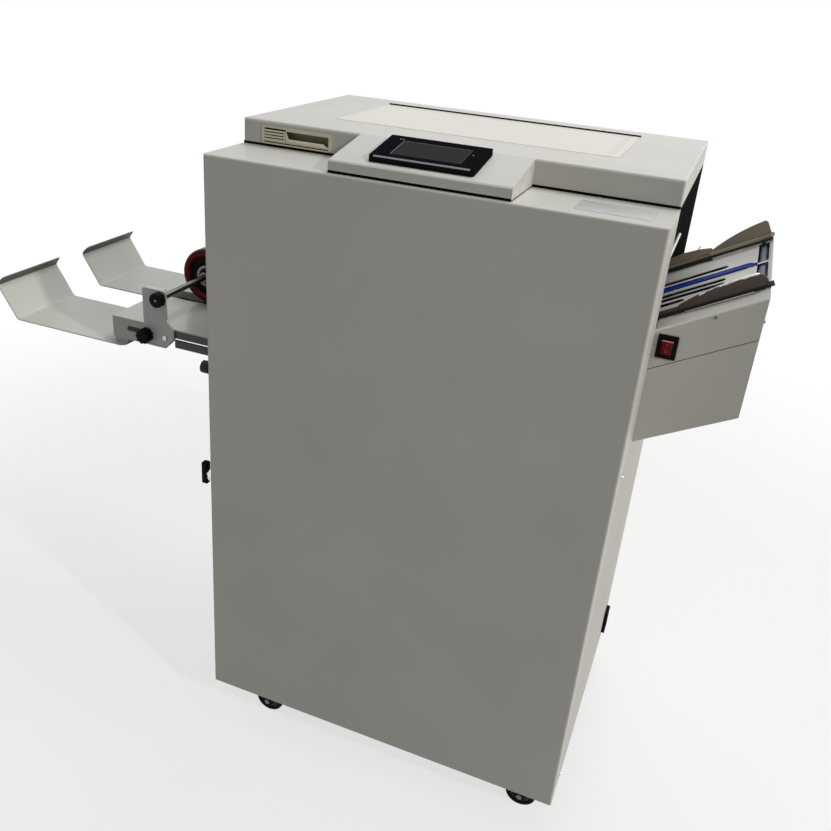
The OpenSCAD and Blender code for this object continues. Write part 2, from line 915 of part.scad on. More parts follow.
// Lug under the deck that carries one pin of the end pulley
module belt_lug(side) {
  y = belt_y + side * (belt_w / 2 + lug_gap + lug_t / 2);
  difference() {
    span([end_pulley_s - lug_half, y - lug_t / 2, pulley_z - lug_half],
      [end_pulley_s + lug_half, y + lug_t / 2, deck_low]);
    translate([end_pulley_s, 0, pulley_z])
      bar_y(pin_r + run, y - lug_t, y + lug_t);
  }
}

// A belt loop of [x, z] round two pulleys of radius r
module belt_loop(a, b, r, t) {
  difference() {
    slot_2d(a - r - t, b + r + t, 0, 2 * (r + t));
    slot_2d(a - r, b + r, 0, 2 * r);
  }
}

module feed_belt() {
  color([0.06, 0.09, 0.55])
    on_slope()
      translate([0, 0, pulley_z])
        along_y(belt_y - belt_w / 2, belt_y + belt_w / 2)
          belt_loop(drive_pulley_s, end_pulley_s, pulley_r + belt_gap, belt_t);
}

module feed_end_pulley() {
  color("dimgray")
    on_slope()
      translate([end_pulley_s, 0, pulley_z]) {
        bar_y(pulley_r, belt_y - belt_w / 2, belt_y + belt_w / 2);
        bar_y(pin_r, belt_y - belt_w / 2 - lug_gap - lug_t, belt_y + belt_w / 2 + lug_gap + lug_t);
      }
}

feed_sprocket_r = 20;
sprocket_w = 10;
drum_lap = 1;

module feed_drive_shaft() {
  color("silver")
    translate([feed_drive_at[0], 0, feed_drive_at[1]]) {
      bar_y(feed_shaft_r, plate_y0 - gear_gap - sprocket_w, rear_plate_y);
      bar_y(pulley_r, belt_y - belt_w / 2 - drum_lap, belt_y + belt_w / 2 + drum_lap);
      bar_y(feed_sprocket_r, plate_y0 - gear_gap - sprocket_w, plate_y0 - gear_gap);
    }
}

rocker_body_d = 16;
rocker_floor = 2;
rocker_gap = 0.4;
rocker_corner = 1.5;
rocker_pin_r = 1.5;
rocker_pivot = 2;

module rocker_frame() {
  color([0.05, 0.05, 0.05])
    difference() {
      union() {
        along_y(hood_y - rocker_flange, hood_y)
          round_rect([rocker_x, rocker_z], [rocker_x + rocker_w, rocker_z + rocker_h], rocker_corner);
        span([rocker_x + rocker_wall + gap / 2, hood_y - rocker_flange / 2, rocker_z + rocker_wall + gap / 2],
          [rocker_x + rocker_w - rocker_wall - gap / 2, hood_y + rocker_body_d,
            rocker_z + rocker_h - rocker_wall - gap / 2]);
      }
      span([rocker_x + 2 * rocker_wall, hood_y - rocker_flange - over, rocker_z + 2 * rocker_wall],
        [rocker_x + rocker_w - 2 * rocker_wall, hood_y + rocker_body_d - rocker_floor,
          rocker_z + rocker_h - 2 * rocker_wall]);
      translate([0, hood_y + rocker_pivot, rocker_z + rocker_h / 2])
        bar_x(rocker_pin_r + run, rocker_x + rocker_wall, rocker_x + rocker_w - rocker_wall);
    }
}

rocker_tilt = 9;
rocker_tip = 5.5;
rocker_dish = 3.5;
rocker_back = [4, 5];
rocker_taper = 0.7;
rocker_end_gap = 0.8;

module rocker() {
  half = rocker_h / 2 - 2 * rocker_wall - rocker_end_gap;
  x0 = rocker_x + 2 * rocker_wall;
  x1 = rocker_x + rocker_w - 2 * rocker_wall;
  color([0.75, 0.05, 0.05])
    translate([0, hood_y + rocker_pivot, rocker_z + rocker_h / 2]) {
      rotate([rocker_tilt, 0, 0])
        along_x(x0 + rocker_gap, x1 - rocker_gap)
          polygon([[-rocker_tip, -half], [-rocker_dish, 0], [-rocker_tip, half],
            [rocker_back[0], half * rocker_taper], [rocker_back[1], 0],
            [rocker_back[0], -half * rocker_taper]]);
      bar_x(rocker_pin_r, x0 - rocker_pin_r, x1 + rocker_pin_r);
    }
}

inlet_t = 6;
inlet_deep = 18;
inlet_hole_w = 14;
inlet_hole_h = 21;
inlet_floor = 3;
inlet_corner = 3;
inlet_hole_corner = 2;

module mains_inlet() {
  color([0.04, 0.04, 0.04])
    difference() {
      union() {
        along_x(side_x, side_x + inlet_t)
          round_rect([inlet_y - inlet_w / 2, inlet_z - inlet_h / 2],
            [inlet_y + inlet_w / 2, inlet_z + inlet_h / 2], inlet_corner);
        along_x(side_x - inlet_deep, side_x + over)
          translate([inlet_y - inlet_w / 2 + inlet_body + gap, inlet_z - inlet_h / 2 + inlet_body + gap])
            square([inlet_w - 2 * inlet_body - 2 * gap, inlet_h - 2 * inlet_body - 2 * gap]);
      }
      along_x(side_x - inlet_deep + inlet_floor, side_x + inlet_t + over)
        round_rect([inlet_y - inlet_hole_w / 2, inlet_z - inlet_hole_h / 2],
          [inlet_y + inlet_hole_w / 2, inlet_z + inlet_hole_h / 2], inlet_hole_corner);
    }
}

guide_clear = 0.3;
wall_foot = deck_top + guide_clear;
wall_in = 30;
wall_s0 = wall_in - deck_in;
wall_lead = 1;
fin_foot = guide_clear;
fin_lap = 4;
fuse = 0.01;

// Low wall of a guide along the slope, inside and outside the cabinet
module guide_wall(s1) {
  along_y(0, guide_t)
    bend_rect([wall_s0, wall_foot], [s1, guide_low], wall_lead);
}

fin_corner = 14;
fin_crown_in = 24;
fin_root_up = 1.5;
fin_run = fin_end - fin_crown_in - fin_start;
fin_rise = near_fin_h - guide_low - fin_root_up;
fin_sweep_r = (fin_run * fin_run + fin_rise * fin_rise) / (2 * fin_rise);
end_knob_r = 3.5;
end_knob_lap = 3;
end_knob_out = 5;

// Outline of the near fin: a wide arc on top, running into a round free end
module near_fin_2d() {
  intersection() {
    translate([fin_end - fin_crown_in, near_fin_h - fin_sweep_r])
      circle(fin_sweep_r, $fn = 240);
    translate([fin_start, 0])
      square([fin_end - fin_start, near_fin_h]);
    union() {
      translate([fin_start, 0])
        square([fin_end - fin_start - fin_corner, near_fin_h]);
      translate([fin_start, 0])
        square([fin_end - fin_start, near_fin_h - fin_corner]);
      translate([fin_end - fin_corner, near_fin_h - fin_corner])
        circle(fin_corner);
    }
  }
}

arm_in = 1;

module near_guide() {
  rack_s0 = near_pitch_s - dedendum - rack_back;
  arm_s0 = cross_s0 + arm_in;
  rack_z = rack_top - rack_h;
  color([0.30, 0.28, 0.23])
    on_slope() {
      translate([0, near_y, 0]) {
        guide_wall(fin_start + fin_lap);
        translate([0, 0, fin_foot])
          rotate([fin_lean, 0, 0])
            along_y(0, guide_t)
              near_fin_2d();
        translate([0, guide_t / 2, end_knob_r + guide_clear])
          bar_x(end_knob_r, fin_end - end_knob_lap, fin_end + end_knob_out);
      }
      // Arm through the near cross slot and the rack that meets the pinion
      span([arm_s0, near_y, rack_z], [arm_s0 + arm_w, near_y + riser_w, fin_foot + over]);
      span([rack_s0, near_y, rack_z], [arm_s0 + arm_w, near_y + riser_w, rack_top]);
      translate([0, 0, rack_z])
        linear_extrude(rack_h) {
          translate([rack_s0, near_y])
            square([rack_back + fuse, pinion_y + rack_reach - near_y]);
          translate([near_pitch_s, 0])
            rack_teeth(near_y + riser_w, pinion_y + rack_reach, pinion_y, 1);
        }
    }
}

ledge_w = 6;
ledge_lift = 7;
ledge_t = 1.5;
ledge_in = [4, -2];
roll_r = 3;
roll_out = 1;
fin_tip = 3;
far_bulge = 4;
far_top0 = [far_fin_start, guide_low];
far_top1 = [fin_end - fin_tip, far_fin_h];
far_chord = far_top1 - far_top0;
far_sweep_r = (far_chord * far_chord / 4 + far_bulge * far_bulge) / (2 * far_bulge);
far_out = [-far_chord[1], far_chord[0]] / norm(far_chord);
far_centre = (far_top0 + far_top1) / 2 - far_out * (far_sweep_r - far_bulge);
hook_hole_r = 1.2;
hook_hole_at = [6, 0.5];

module far_guide() {
  rack_s0 = far_pitch_s + dedendum;
  rack_z = rack_top - rack_h;
  color([0.38, 0.35, 0.29])
    on_slope() {
      translate([0, far_y, 0]) {
        guide_wall(far_fin_start + fin_lap);
        translate([0, 0, fin_foot + guide_t * sin(fin_lean)])
          rotate([-fin_lean, 0, 0]) {
            along_y(0, guide_t)
              difference() {
                intersection() {
                  translate(far_centre)
                    circle(far_sweep_r, $fn = 240);
                  polygon([[far_fin_start, 0], [fin_end, 0], [fin_end, far_fin_h - fin_tip],
                    [fin_end - fin_tip, far_fin_h], [far_fin_start, far_fin_h]]);
                }
                translate([far_fin_start + hook_hole_at[0], guide_low + hook_hole_at[1]])
                  circle(hook_hole_r);
              }
            along_y(-ledge_w, 0)
              translate([far_fin_start + ledge_in[0], ledge_lift])
                square([fin_end - far_fin_start - ledge_in[0] - ledge_in[1], ledge_t]);
            translate([fin_end + roll_out, -ledge_w / 2, ledge_lift + ledge_t / 2])
              bar_y(roll_r, -ledge_w / 2, guide_t + ledge_w / 2);
          }
      }
      // Arm through the far cross slot and the rack that meets the pinion
      span([rack_s0, far_y - riser_w, rack_z], [rack_s0 + rack_back, far_y + guide_t, fin_foot + over]);
      translate([0, 0, rack_z])
        linear_extrude(rack_h) {
          translate([rack_s0 - fuse, pinion_y - rack_reach])
            square([rack_back + fuse, far_y - pinion_y + rack_reach]);
          translate([far_pitch_s, 0])
            rack_teeth(pinion_y - rack_reach, far_y - riser_w, pinion_y, -1);
        }
    }
}

module guide_pinion() {
  color("goldenrod")
    on_slope()
      translate([pinion_s, pinion_y, rack_top - rack_h])
        difference() {
          linear_extrude(rack_h)
            gear_2d(pinion_n, rack_m);
          translate([0, 0, -over])
            cylinder(r = stud_r + run, h = rack_h + 2 * over);
        }
}

anvil_w = 24;
anvil_d = 30;
anvil_h = 16;
knife_slot = 6;
knife_slot_in = 8;
belt_notch = [40, 2];
stop_t = 3;
stop_h = 30;

// Bed below the stitching heads and the fold rollers, with the anvils under it and a stop at its low end
module inner_deck() {
  notch_half = belt_w / 2 + belt_notch[1];
  color("lightgray")
    on_slope() {
      difference() {
        span([inner_s0, inner_y0, deck_low], [inner_s1, inner_y1, deck_top]);
        span([knife_s - knife_slot / 2, inner_y0 + knife_slot_in, deck_low - over],
          [knife_s + knife_slot / 2, inner_y1 - knife_slot_in, deck_top + over]);
        span([inner_s1 - belt_notch[0], belt_y - notch_half, deck_low - over],
          [inner_s1 + over, belt_y + notch_half, deck_top + over]);
      }
      for (side = [-1, 1])
        translate([stitch_s - anvil_d / 2, mid_y + side * stitch_gap / 2 - anvil_w / 2, deck_low - anvil_h])
          cube([anvil_d, anvil_w, anvil_h]);
      span([inner_s0, inner_y0, deck_top], [inner_s0 + stop_t, inner_y1, deck_top + stop_h]);
    }
}

head_w = 28;
head_front = 18;
head_clear = 10;
head_top = 95;
former_h = 18;
former_d = 12;
former_w = 20;
wire_boss_r = 11;
wire_boss_t = 8;
wire_boss_drop = 22;

// Wire stitching heads on the front of the stitch beam
module stitch_heads() {
  color("silver")
    on_slope()
      for (side = [-1, 1])
        translate([0, mid_y + side * stitch_gap / 2, 0]) {
          span([beam_s[1], -head_w / 2, head_clear + former_h],
            [stitch_s + head_front, head_w / 2, head_top]);
          span([stitch_s - former_d / 2, -former_w / 2, head_clear],
            [stitch_s + former_d / 2, former_w / 2, head_clear + former_h]);
          translate([stitch_s + head_front, 0, head_top - wire_boss_drop])
            rotate([0, 90, 0])
              cylinder(r = wire_boss_r, h = wire_boss_t);
        }
}

knife_in = 2;

module fold_knife() {
  y0 = path_y0 + gap;
  y1 = path_y1 - gap;
  color("gainsboro")
    on_slope() {
      span([knife_s - knife_t / 2, inner_y0 + knife_slot_in + knife_in, knife_top - knife_h],
        [knife_s + knife_t / 2, inner_y1 - knife_slot_in - knife_in, knife_top]);
      span([knife_s - knife_bar_w / 2, y0, knife_top - knife_h - knife_bar_h],
        [knife_s + knife_bar_w / 2, y1, knife_top - knife_h]);
    }
}

roller_in = 3;

// A fold roller with its shaft and gear, the gear turned by the given angle
module fold_roller(at, turn, shaft_y0) {
  translate([at[0], 0, at[1]]) {
    bar_y(fold_r, path_y0 + roller_in, path_y1 - roller_in);
    bar_y(shaft_r, shaft_y0, rear_plate_y);
    translate([0, gear_y, 0])
      rotate([-90, 0, 0])
        linear_extrude(gear_w)
          rotate(turn)
            gear_2d(fold_n, fold_m);
  }
}

motor_gap = 4;
motor_y = gear_y - motor_gap;
motor_d = 45;
motor_half = 55;
motor_corner = 8;
motor_can = 70;
motor_skin = 6;
shaft_end = 2;
standoff_r = 5;
standoff_in = 7;

module fold_roller_lower() {
  color("darkslategray")
    fold_roller(fold_low_at, -feed_angle, motor_y - motor_d + motor_skin + shaft_end);
}

module fold_roller_upper() {
  color("darkslategray")
    fold_roller(fold_high_at, -feed_angle + 180 / fold_n, gear_y);
}

module drive_motor() {
  corner = motor_half - standoff_in;
  color("dimgray")
    translate([fold_low_at[0], 0, fold_low_at[1]]) {
      difference() {
        along_y(motor_y - motor_d, motor_y)
          round_rect([-motor_half, -motor_half], [motor_half, motor_half], motor_corner);
        bar_y(shaft_r + run, motor_y - motor_d + motor_skin, motor_y + over);
      }
      for (x = [-corner, corner], z = [-corner, corner])
        translate([x, 0, z])
          bar_y(standoff_r, motor_y, plate_y0);
      translate([0, motor_y - motor_d / 2, -motor_half - motor_can])
        cylinder(r = motor_d / 2, h = motor_can);
    }
}

spool_w = 36;
wound_r = 32;
spool_flange = 3;

// Spindle with both wire spools
module wire_spools() {
  flange_y = spool_w / 2 - spool_flange / 2;
  color("darkgoldenrod")
    translate([spool_at[0], 0, spool_at[1]]) {
      bar_y(small_shaft_r, plate_y0, rear_plate_y);
      for (side = [-1, 1])
        translate([0, mid_y + side * stitch_gap / 2, 0]) {
          bar_y(wound_r, -spool_w / 2, spool_w / 2);
          for (y = [-flange_y, flange_y])
            bar_y(spool_r, y - spool_flange / 2, y + spool_flange / 2);
        }
    }
}

belt_mid = [mid_y - deliv_pitch / 2, mid_y + deliv_pitch / 2];
belt_slot = 2;
deliv_lug_t = 4;
bore_gap = 1;
lug_reach = deliv_belt_w / 2 + belt_slot + bore_gap;
deliv_lug_y = [belt_mid[0] - lug_reach - deliv_lug_t, belt_mid[1] + lug_reach];
deliv_pin_r = 5;
deliv_core_r = 8;
deliv_lug_half = 9;
belt_nose = 6;

module delivery_table() {
  color([0.70, 0.71, 0.68]) {
    difference() {
      span([deliv_x0, hood_y, skirt_z], [-side_x, feed_y1, deliv_z]);
      span([deliv_x0 + sheet, hood_y + sheet, skirt_z - over],
        [-side_x + over, feed_y1 - sheet, deliv_z - sheet]);
      for (y = belt_mid)
        span([deliv_end_x - deliv_r - belt_nose, y - deliv_belt_w / 2 - belt_slot, deliv_z - sheet - over],
          [-side_x + over, y + deliv_belt_w / 2 + belt_slot, deliv_z + over]);
      for (y = [hood_y - over, feed_y1 - sheet - over]) {
        span([skirt_end, y, skirt_z - over], [-side_x + over, y + sheet + 2 * over, deliv_z - sheet]);
        along_y(y, y + sheet + 2 * over) {
          slot_2d(slot_x0, slot_x1, slot_z, slot_h);
          polygon([[skirt_end - skirt_cut - over, skirt_z - over], [skirt_end + over, skirt_z - over],
            [skirt_end + over, skirt_z + skirt_cut + over]]);
        }
      }
    }
    for (y = deliv_lug_y)
      difference() {
        span([deliv_end_x - deliv_lug_half, y, deliv_axis_z - deliv_lug_half],
          [deliv_end_x + deliv_lug_half, y + deliv_lug_t, deliv_z - sheet]);
        translate([deliv_end_x, 0, deliv_axis_z])
          bar_y(deliv_pin_r + run, y - over, y + deliv_lug_t + over);
      }
    span([deliv_x0 + sheet, hood_y + sheet, skirt_z - tray_bar_h],
      [deliv_x0 + sheet + tray_bar_w, feed_y1 - sheet, skirt_z + sheet]);
  }
}

rail_t = 4;
rail_h = 13;
rail_slit = 3.5;

module delivery_rails() {
  color([0.2, 0.19, 0.18])
    for (y = [hood_y, feed_y1 - rail_t], k = [0, 1])
      translate([skirt_end, y, deliv_z - sheet - rail_h - k * (rail_h + rail_slit)])
        cube([-side_x - skirt_end, rail_t, rail_h]);
}

module delivery_belts() {
  color([0.02, 0.30, 0.20])
    for (y = belt_mid)
      translate([0, 0, deliv_axis_z])
        along_y(y - deliv_belt_w / 2, y + deliv_belt_w / 2)
          belt_loop(deliv_end_x, deliv_drive_x, deliv_r + belt_gap, deliv_belt_t);
}

module delivery_end_roller() {
  color("silver")
    translate([deliv_end_x, 0, deliv_axis_z]) {
      for (y = belt_mid)
        bar_y(deliv_r, y - deliv_belt_w / 2 - drum_lap, y + deliv_belt_w / 2 + drum_lap);
      bar_y(deliv_core_r, deliv_lug_y[0] + deliv_lug_t + bore_gap, deliv_lug_y[1] - bore_gap);
      bar_y(deliv_pin_r, deliv_lug_y[0], deliv_lug_y[1] + deliv_lug_t);
    }
}

drum_end = 4;
deliv_sprocket_r = 22;

module delivery_drive_roller() {
  color("silver")
    translate([deliv_drive_x, 0, deliv_axis_z]) {
      bar_y(deliv_r, belt_mid[0] - deliv_belt_w / 2 - drum_end, belt_mid[1] + deliv_belt_w / 2 + drum_end);
      bar_y(shaft_r, plate_y0 - gear_gap - sprocket_w, rear_plate_y);
      bar_y(deliv_sprocket_r, plate_y0 - gear_gap - sprocket_w, plate_y0 - gear_gap);
    }
}

tray_z = skirt_z - tray_bar_h;
tray_x1 = deliv_x0 + sheet + tray_bar_w;
tray_x0 = tray_x1 - tray_len;
tray_corner = 10;

tray_lip_cut = 8;

// A bent tray of the tray's width, with round corners at its free floor end and on its lip
module tray(y0) {
  wall_x = tray_x0 - tray_lean;
  lip_z = tray_z + tray_wall + tray_lip[1];
  color([0.72, 0.73, 0.70])
    intersection() {
      along_y(y0, y0 + tray_w)
        bent_sheet([[tray_x1, tray_z], [tray_x0, tray_z], [wall_x, tray_z + tray_wall],
          [wall_x + tray_lip[0], lip_z]], tray_t);
      translate([0, 0, tray_z - tray_t - over])
        linear_extrude(lip_z - tray_z + 2 * tray_t + 2 * over)
          round_rect([wall_x - tray_lip_cut, y0], [tray_x1, y0 + tray_w], tray_corner);
      along_x(wall_x - tray_lip_cut, tray_x1)
        round_rect([y0, tray_z - 2 * tray_lip_cut], [y0 + tray_w, lip_z], tray_lip_cut);
    }
}

module front_tray() {
  tray(mid_y - tray_gap / 2 - tray_w);
}

module rear_tray() {
  tray(mid_y + tray_gap / 2);
}

bracket_drop = 31;
bracket_head = 14;
bracket_low = deliv_z - bracket_drop;
bracket_top = rod_z + bracket_head;
bracket_left = 33;
bracket_right = 11;
bracket_foot = 23;
bracket_hip = deliv_z + 1;
bracket_slant = 12;
bracket_cut = 14;
bracket_r = 5;
bracket_lip = 7;
bracket_lip_t = 2.5;
clamp_stud_r = 3;
pin_proud = 1.5;
pin_past = 1;
front_bracket_y = hood_y - gap - bracket_t;
rear_bracket_y = feed_y1 + gap;

// Side plates of the press carriage, with the pins that run in the skirt slots
module press_brackets() {
  pin_in = sheet + gap + pin_past;
  color([0.62, 0.63, 0.61])
    for (y = [front_bracket_y, rear_bracket_y]) {
      front = y < mid_y;
      difference() {
        along_y(y, y + bracket_t) {
          round_rect([rod_x - bracket_left, bracket_low], [rod_x + bracket_right, bracket_top], bracket_r);
          polygon([[rod_x - bracket_left + bracket_r, bracket_low],
            [rod_x + bracket_foot - bracket_cut, bracket_low],
            [rod_x + bracket_foot, bracket_low + bracket_cut], [rod_x + bracket_foot, bracket_hip],
            [rod_x + bracket_right, bracket_hip + bracket_slant], [rod_x, bracket_hip + bracket_slant]]);
        }
        translate([rod_x, 0, rod_z])
          bar_y(rod_r + run, y - over, y + bracket_t + over);
        if (front)
          translate([clamp_x, 0, slot_z])
            bar_y(clamp_stud_r + run, y - over, y + bracket_t + over);
      }
      span([rod_x - bracket_left + bracket_r, front ? y : y - bracket_lip, bracket_top - bracket_lip_t],
        [rod_x + bracket_right - bracket_r, y + bracket_t + (front ? bracket_lip : 0), bracket_top]);
      translate([guide_pin_x, 0, slot_z])
        bar_y(clamp_stud_r, y - (front ? pin_proud : pin_in), y + bracket_t + (front ? pin_in : pin_proud));
    }
}

rod_knob_r = 12;
rod_knob_h = 12;
collar_r = 9;
collar_w = 6;

module press_rod() {
  y0 = front_bracket_y - rod_knob_h;
  y1 = rear_bracket_y + bracket_t + rod_knob_h;
  color("silver")
    translate([rod_x, 0, rod_z]) {
      bar_y(rod_r, y0, y1);
      for (y = [y0, y1 - rod_knob_h])
        bar_y(rod_knob_r, y, y + rod_knob_h);
      for (m = belt_mid, side = [-1, 1], y = m + side * (wheel_w / 2 + gap + collar_w / 2))
        bar_y(collar_r, y - collar_w / 2, y + collar_w / 2);
    }
}

hub_r = 18;
rim_r = 32;
rim_lap = 12;
tyre_round = 7;
wheel_dish = 5;

module press_wheel(y) {
  w = wheel_w / 2;
  color([0.30, 0.04, 0.05])
    translate([rod_x, y, rod_z])
      rotate([90, 0, 0])
        rotate_extrude($fn = 72)
          difference() {
            union() {
              translate([rod_r + run, -w])
                square([rim_r - rod_r - run, 2 * w]);
              round_rect([rim_r - rim_lap, -w], [wheel_r, w], tyre_round);
            }
            for (side = [-1, 1])
              translate([hub_r, side * w - wheel_dish])
                square([rim_r - hub_r, 2 * wheel_dish]);
          }
}

module press_wheel_front() {
  press_wheel(belt_mid[0]);
}

module press_wheel_rear() {
  press_wheel(belt_mid[1]);
}

clamp_head_r = 12.5;
clamp_head_h = 16;
flutes = 9;
flute_r = 3.2;
flute_out = 2;
clamp_rim = 3;
clamp_past = 2;

module clamp_knob() {
  y1 = front_bracket_y - gap;
  color([0.03, 0.03, 0.03])
    translate([clamp_x, 0, slot_z]) {
      difference() {
        bar_y(clamp_head_r, y1 - clamp_head_h, y1);
        for (k = [0:flutes - 1])
          rotate([0, k * 360 / flutes, 0])
            translate([clamp_head_r + flute_out, 0, 0])
              bar_y(flute_r, y1 - clamp_head_h - over, y1 - clamp_rim);
      }
      bar_y(clamp_stud_r, y1 - over, hood_y + sheet + clamp_past);
    }
}

side_knob_r = 9.5;
side_knob_out = 21;
side_neck_r = 6;
side_neck = 8;

module side_knob() {
  color([0.2, 0.2, 0.2])
    translate([0, side_fix_y, knob_z]) {
      bar_x(side_knob_r, -side_x - side_knob_out, -side_x - side_neck);
      bar_x(side_neck_r, -side_x - side_neck - over, -side_x - gap);
      bar_x(fix_r, -side_x - side_neck, -side_x + sheet + fix_past);
    }
}

side_latch_r = 12;
handle_h = 38;
handle_w = 12;
handle_t = 11;
handle_out = 26;
handle_r = 4;

module side_latch() {
  color("gainsboro")
    translate([0, side_fix_y, side_latch_z]) {
      bar_x(side_latch_r, -side_x - handle_out + handle_t, -side_x - gap);
      along_x(-side_x - handle_out, -side_x - handle_out + handle_t)
        round_rect([-handle_w / 2, -handle_h / 2], [handle_w / 2, handle_h / 2], handle_r);
      bar_x(fix_r, -side_x - over, -side_x + sheet + fix_past);
    }
}

console_y = front_y + console_set;
console_run = hood_y - console_y;
console_rise = hood_h - console_front_h;
console_angle = atan(console_rise / console_run);
console_x0 = console_x - console_w / 2;
console_x1 = console_x + console_w / 2;
console_chamfer = [2, 1.5];

// The hood's outer block, drawn in by the sheet on its closed sides
module hood_block(inset, low) {
  r = bend_r - inset;
  x = side_x - inset;
  intersection() {
    translate([0, 0, low])
      linear_extrude(top_z - low)
        round_rect([-x, hood_y + inset], [x, back_y - inset], r);
    along_x(-side_x, side_x) {
      bend_rect([hood_y + inset, low - over], [(hood_y + back_y) / 2, top_z - inset], r);
      mirror([1, 0])
        bend_rect([-back_y + inset, low - over], [-(hood_y + back_y) / 2 + 1, top_z - inset], r);
    }
    along_y(hood_y, back_y) {
      bend_rect([-x, low - over], [over, top_z - inset], r);
      mirror([1, 0])
        bend_rect([-x, low - over], [over, top_z - inset], r);
    }
  }
}

// The console's block: front face, sloped top running into the hood's front edge
module console_block(inset, low) {
  lead = inset > 0 ? 2 * bend_r : bend_r;
  along_x(console_x0 + inset, console_x1 - inset)
    polygon([[console_y + inset, low], [hood_y + lead, low], [hood_y + lead, top_z - inset],
      [hood_y + inset, top_z - inset],
      [console_y + inset + console_chamfer[0],
        ledge_z + console_front_h - inset + console_chamfer[0] * tan(console_angle)],
      [console_y + inset, ledge_z + console_front_h - inset - console_chamfer[1]]]);
}

latch_cut = 3;
rear_slot = 3.5;
cable_hole = [60, 30];

module hood() {
  color([0.84, 0.83, 0.80]) {
    difference() {
      union() {
        hood_block(0, hood_z);
        console_block(0, hood_z);
      }
      hood_block(sheet, hood_z - over);
      console_block(sheet, hood_z - over);
      translate([inset_x - inset_w / 2 - seam, back_y - inset_back - inset_d - seam, top_z - inset_sink])
        cube([inset_w + 2 * seam, inset_d + 2 * seam, sheet]);
      translate([inset_x - inset_w / 2 - seam, back_y - inset_back, top_z - sheet - over])
        cube([inset_w + 2 * seam, seam + rear_slot, sheet + 2 * over]);
      span([latch_x - latch_w / 2 + latch_cut, hood_y - over, ledge_z + latch_z + latch_cut],
        [latch_x + latch_w / 2 - latch_cut, hood_y + sheet + over,
          ledge_z + latch_z + latch_h - latch_cut]);
      on_console()
        translate([screen_x - cable_hole[0] / 2, screen_set + screen_d / 2 - cable_hole[1] / 2, -sheet * 2])
          cube([cable_hole[0], cable_hole[1], sheet * 4]);
    }
    for (x = hinge_x)
      translate([x, 0, 0]) {
        span([-hinge_len / 2, back_y, ledge_z + lid_leaf_lift],
          [hinge_len / 2, back_y + leaf_t, ledge_z + lid_leaf_lift + lid_leaf_h]);
        difference() {
          union() {
            translate([0, hinge_y, ledge_z])
              bar_x(knuckle_r, -mid_knuckle / 2, mid_knuckle / 2);
            span([-mid_knuckle / 2, back_y, ledge_z + tongue_lap],
              [mid_knuckle / 2, back_y + leaf_t, ledge_z + lid_leaf_lift + tongue_lap]);
          }
          translate([0, hinge_y, ledge_z])
            bar_x(hinge_pin_r + run, -mid_knuckle, mid_knuckle);
        }
      }
  }
}

inset_corner = 1;

module inset_plate() {
  color([0.93, 0.91, 0.88])
    translate([inset_x, back_y - inset_back - inset_d / 2, top_z - inset_sink])
      linear_extrude(inset_t)
        round_rect([-inset_w / 2, -inset_d / 2], [inset_w / 2, inset_d / 2], inset_corner);
}

// The frame of the console's slope: y up the slope from its front edge, z square to it
module on_console() {
  translate([0, console_y, ledge_z + console_front_h])
    rotate([console_angle, 0, 0])
      children();
}

screen_seat = 0.05;
glass_t = 2;
bezel_bevel = [5, 4];
bezel_edge = 1;
bezel_corner = 4;
display_up = 1;
display_set = (screen_d - display_d) / 2 + display_up;

module screen_bezel() {
  color([0.03, 0.03, 0.04])
    on_console()
      translate([screen_x, screen_set, screen_seat])
        difference() {
          intersection() {
            along_x(-screen_w / 2, screen_w / 2)
              polygon([[0, 0], [screen_d, 0], [screen_d, screen_t - bezel_edge],
                [screen_d - bezel_edge, screen_t], [bezel_bevel[0], screen_t],
                [0, screen_t - bezel_bevel[1]]]);
            linear_extrude(screen_t)
              round_rect([-screen_w / 2, 0], [screen_w / 2, screen_d], bezel_corner);
          }
          translate([-display_w / 2, display_set, screen_t - display_sink - glass_t])
            cube([display_w, display_d, screen_t]);
        }
}

module screen_glass() {
  color([0.2, 0.21, 0.21])
    on_console()
      translate([screen_x - display_w / 2 + gap / 2, screen_set + display_set + gap / 2,
        screen_seat + screen_t - display_sink - glass_t])
        cube([display_w - gap, display_d - gap, glass_t]);
}

latch_proud = 1.2;
latch_floor = 3;
latch_wall = 1.5;
latch_rib = 2;
latch_corner = 2;
latch_deep = recess_d + latch_floor;
button_gap = 0.4;
latch_x0 = latch_x - latch_w / 2 + latch_cut;
latch_x1 = latch_x + latch_w / 2 - latch_cut;
latch_z0 = ledge_z + latch_z + latch_cut;
latch_z1 = ledge_z + latch_z + latch_h - latch_cut;
latch_face = hood_y - latch_proud;
button_x0 = latch_x0 + latch_wall;
recess_x0 = button_x0 + button_w + latch_rib;
recess_x1 = latch_x1 - latch_rib;

module latch_frame() {
  z0 = latch_z0 + latch_wall;
  z1 = latch_z1 - latch_wall;
  fit = gap / 2;
  color([0.80, 0.77, 0.66])
    difference() {
      union() {
        along_y(latch_face, hood_y)
          round_rect([latch_x0 - latch_cut, latch_z0 - latch_cut],
            [latch_x1 + latch_cut, latch_z1 + latch_cut], latch_corner);
        span([latch_x0 + fit, hood_y - latch_proud / 2, latch_z0 + fit],
          [latch_x1 - fit, hood_y + latch_deep, latch_z1 - fit]);
      }
      span([recess_x0, latch_face - over, z0], [recess_x1, hood_y + recess_d, z1]);
      span([button_x0 - button_gap, latch_face - over, z0], [button_x0 + button_w, hood_y + recess_d, z1]);
    }
}

ribs = 4;
rib_share = 0.55;
rib_h = 1.4;
rib_sink = 0.2;
button_spare = 1;

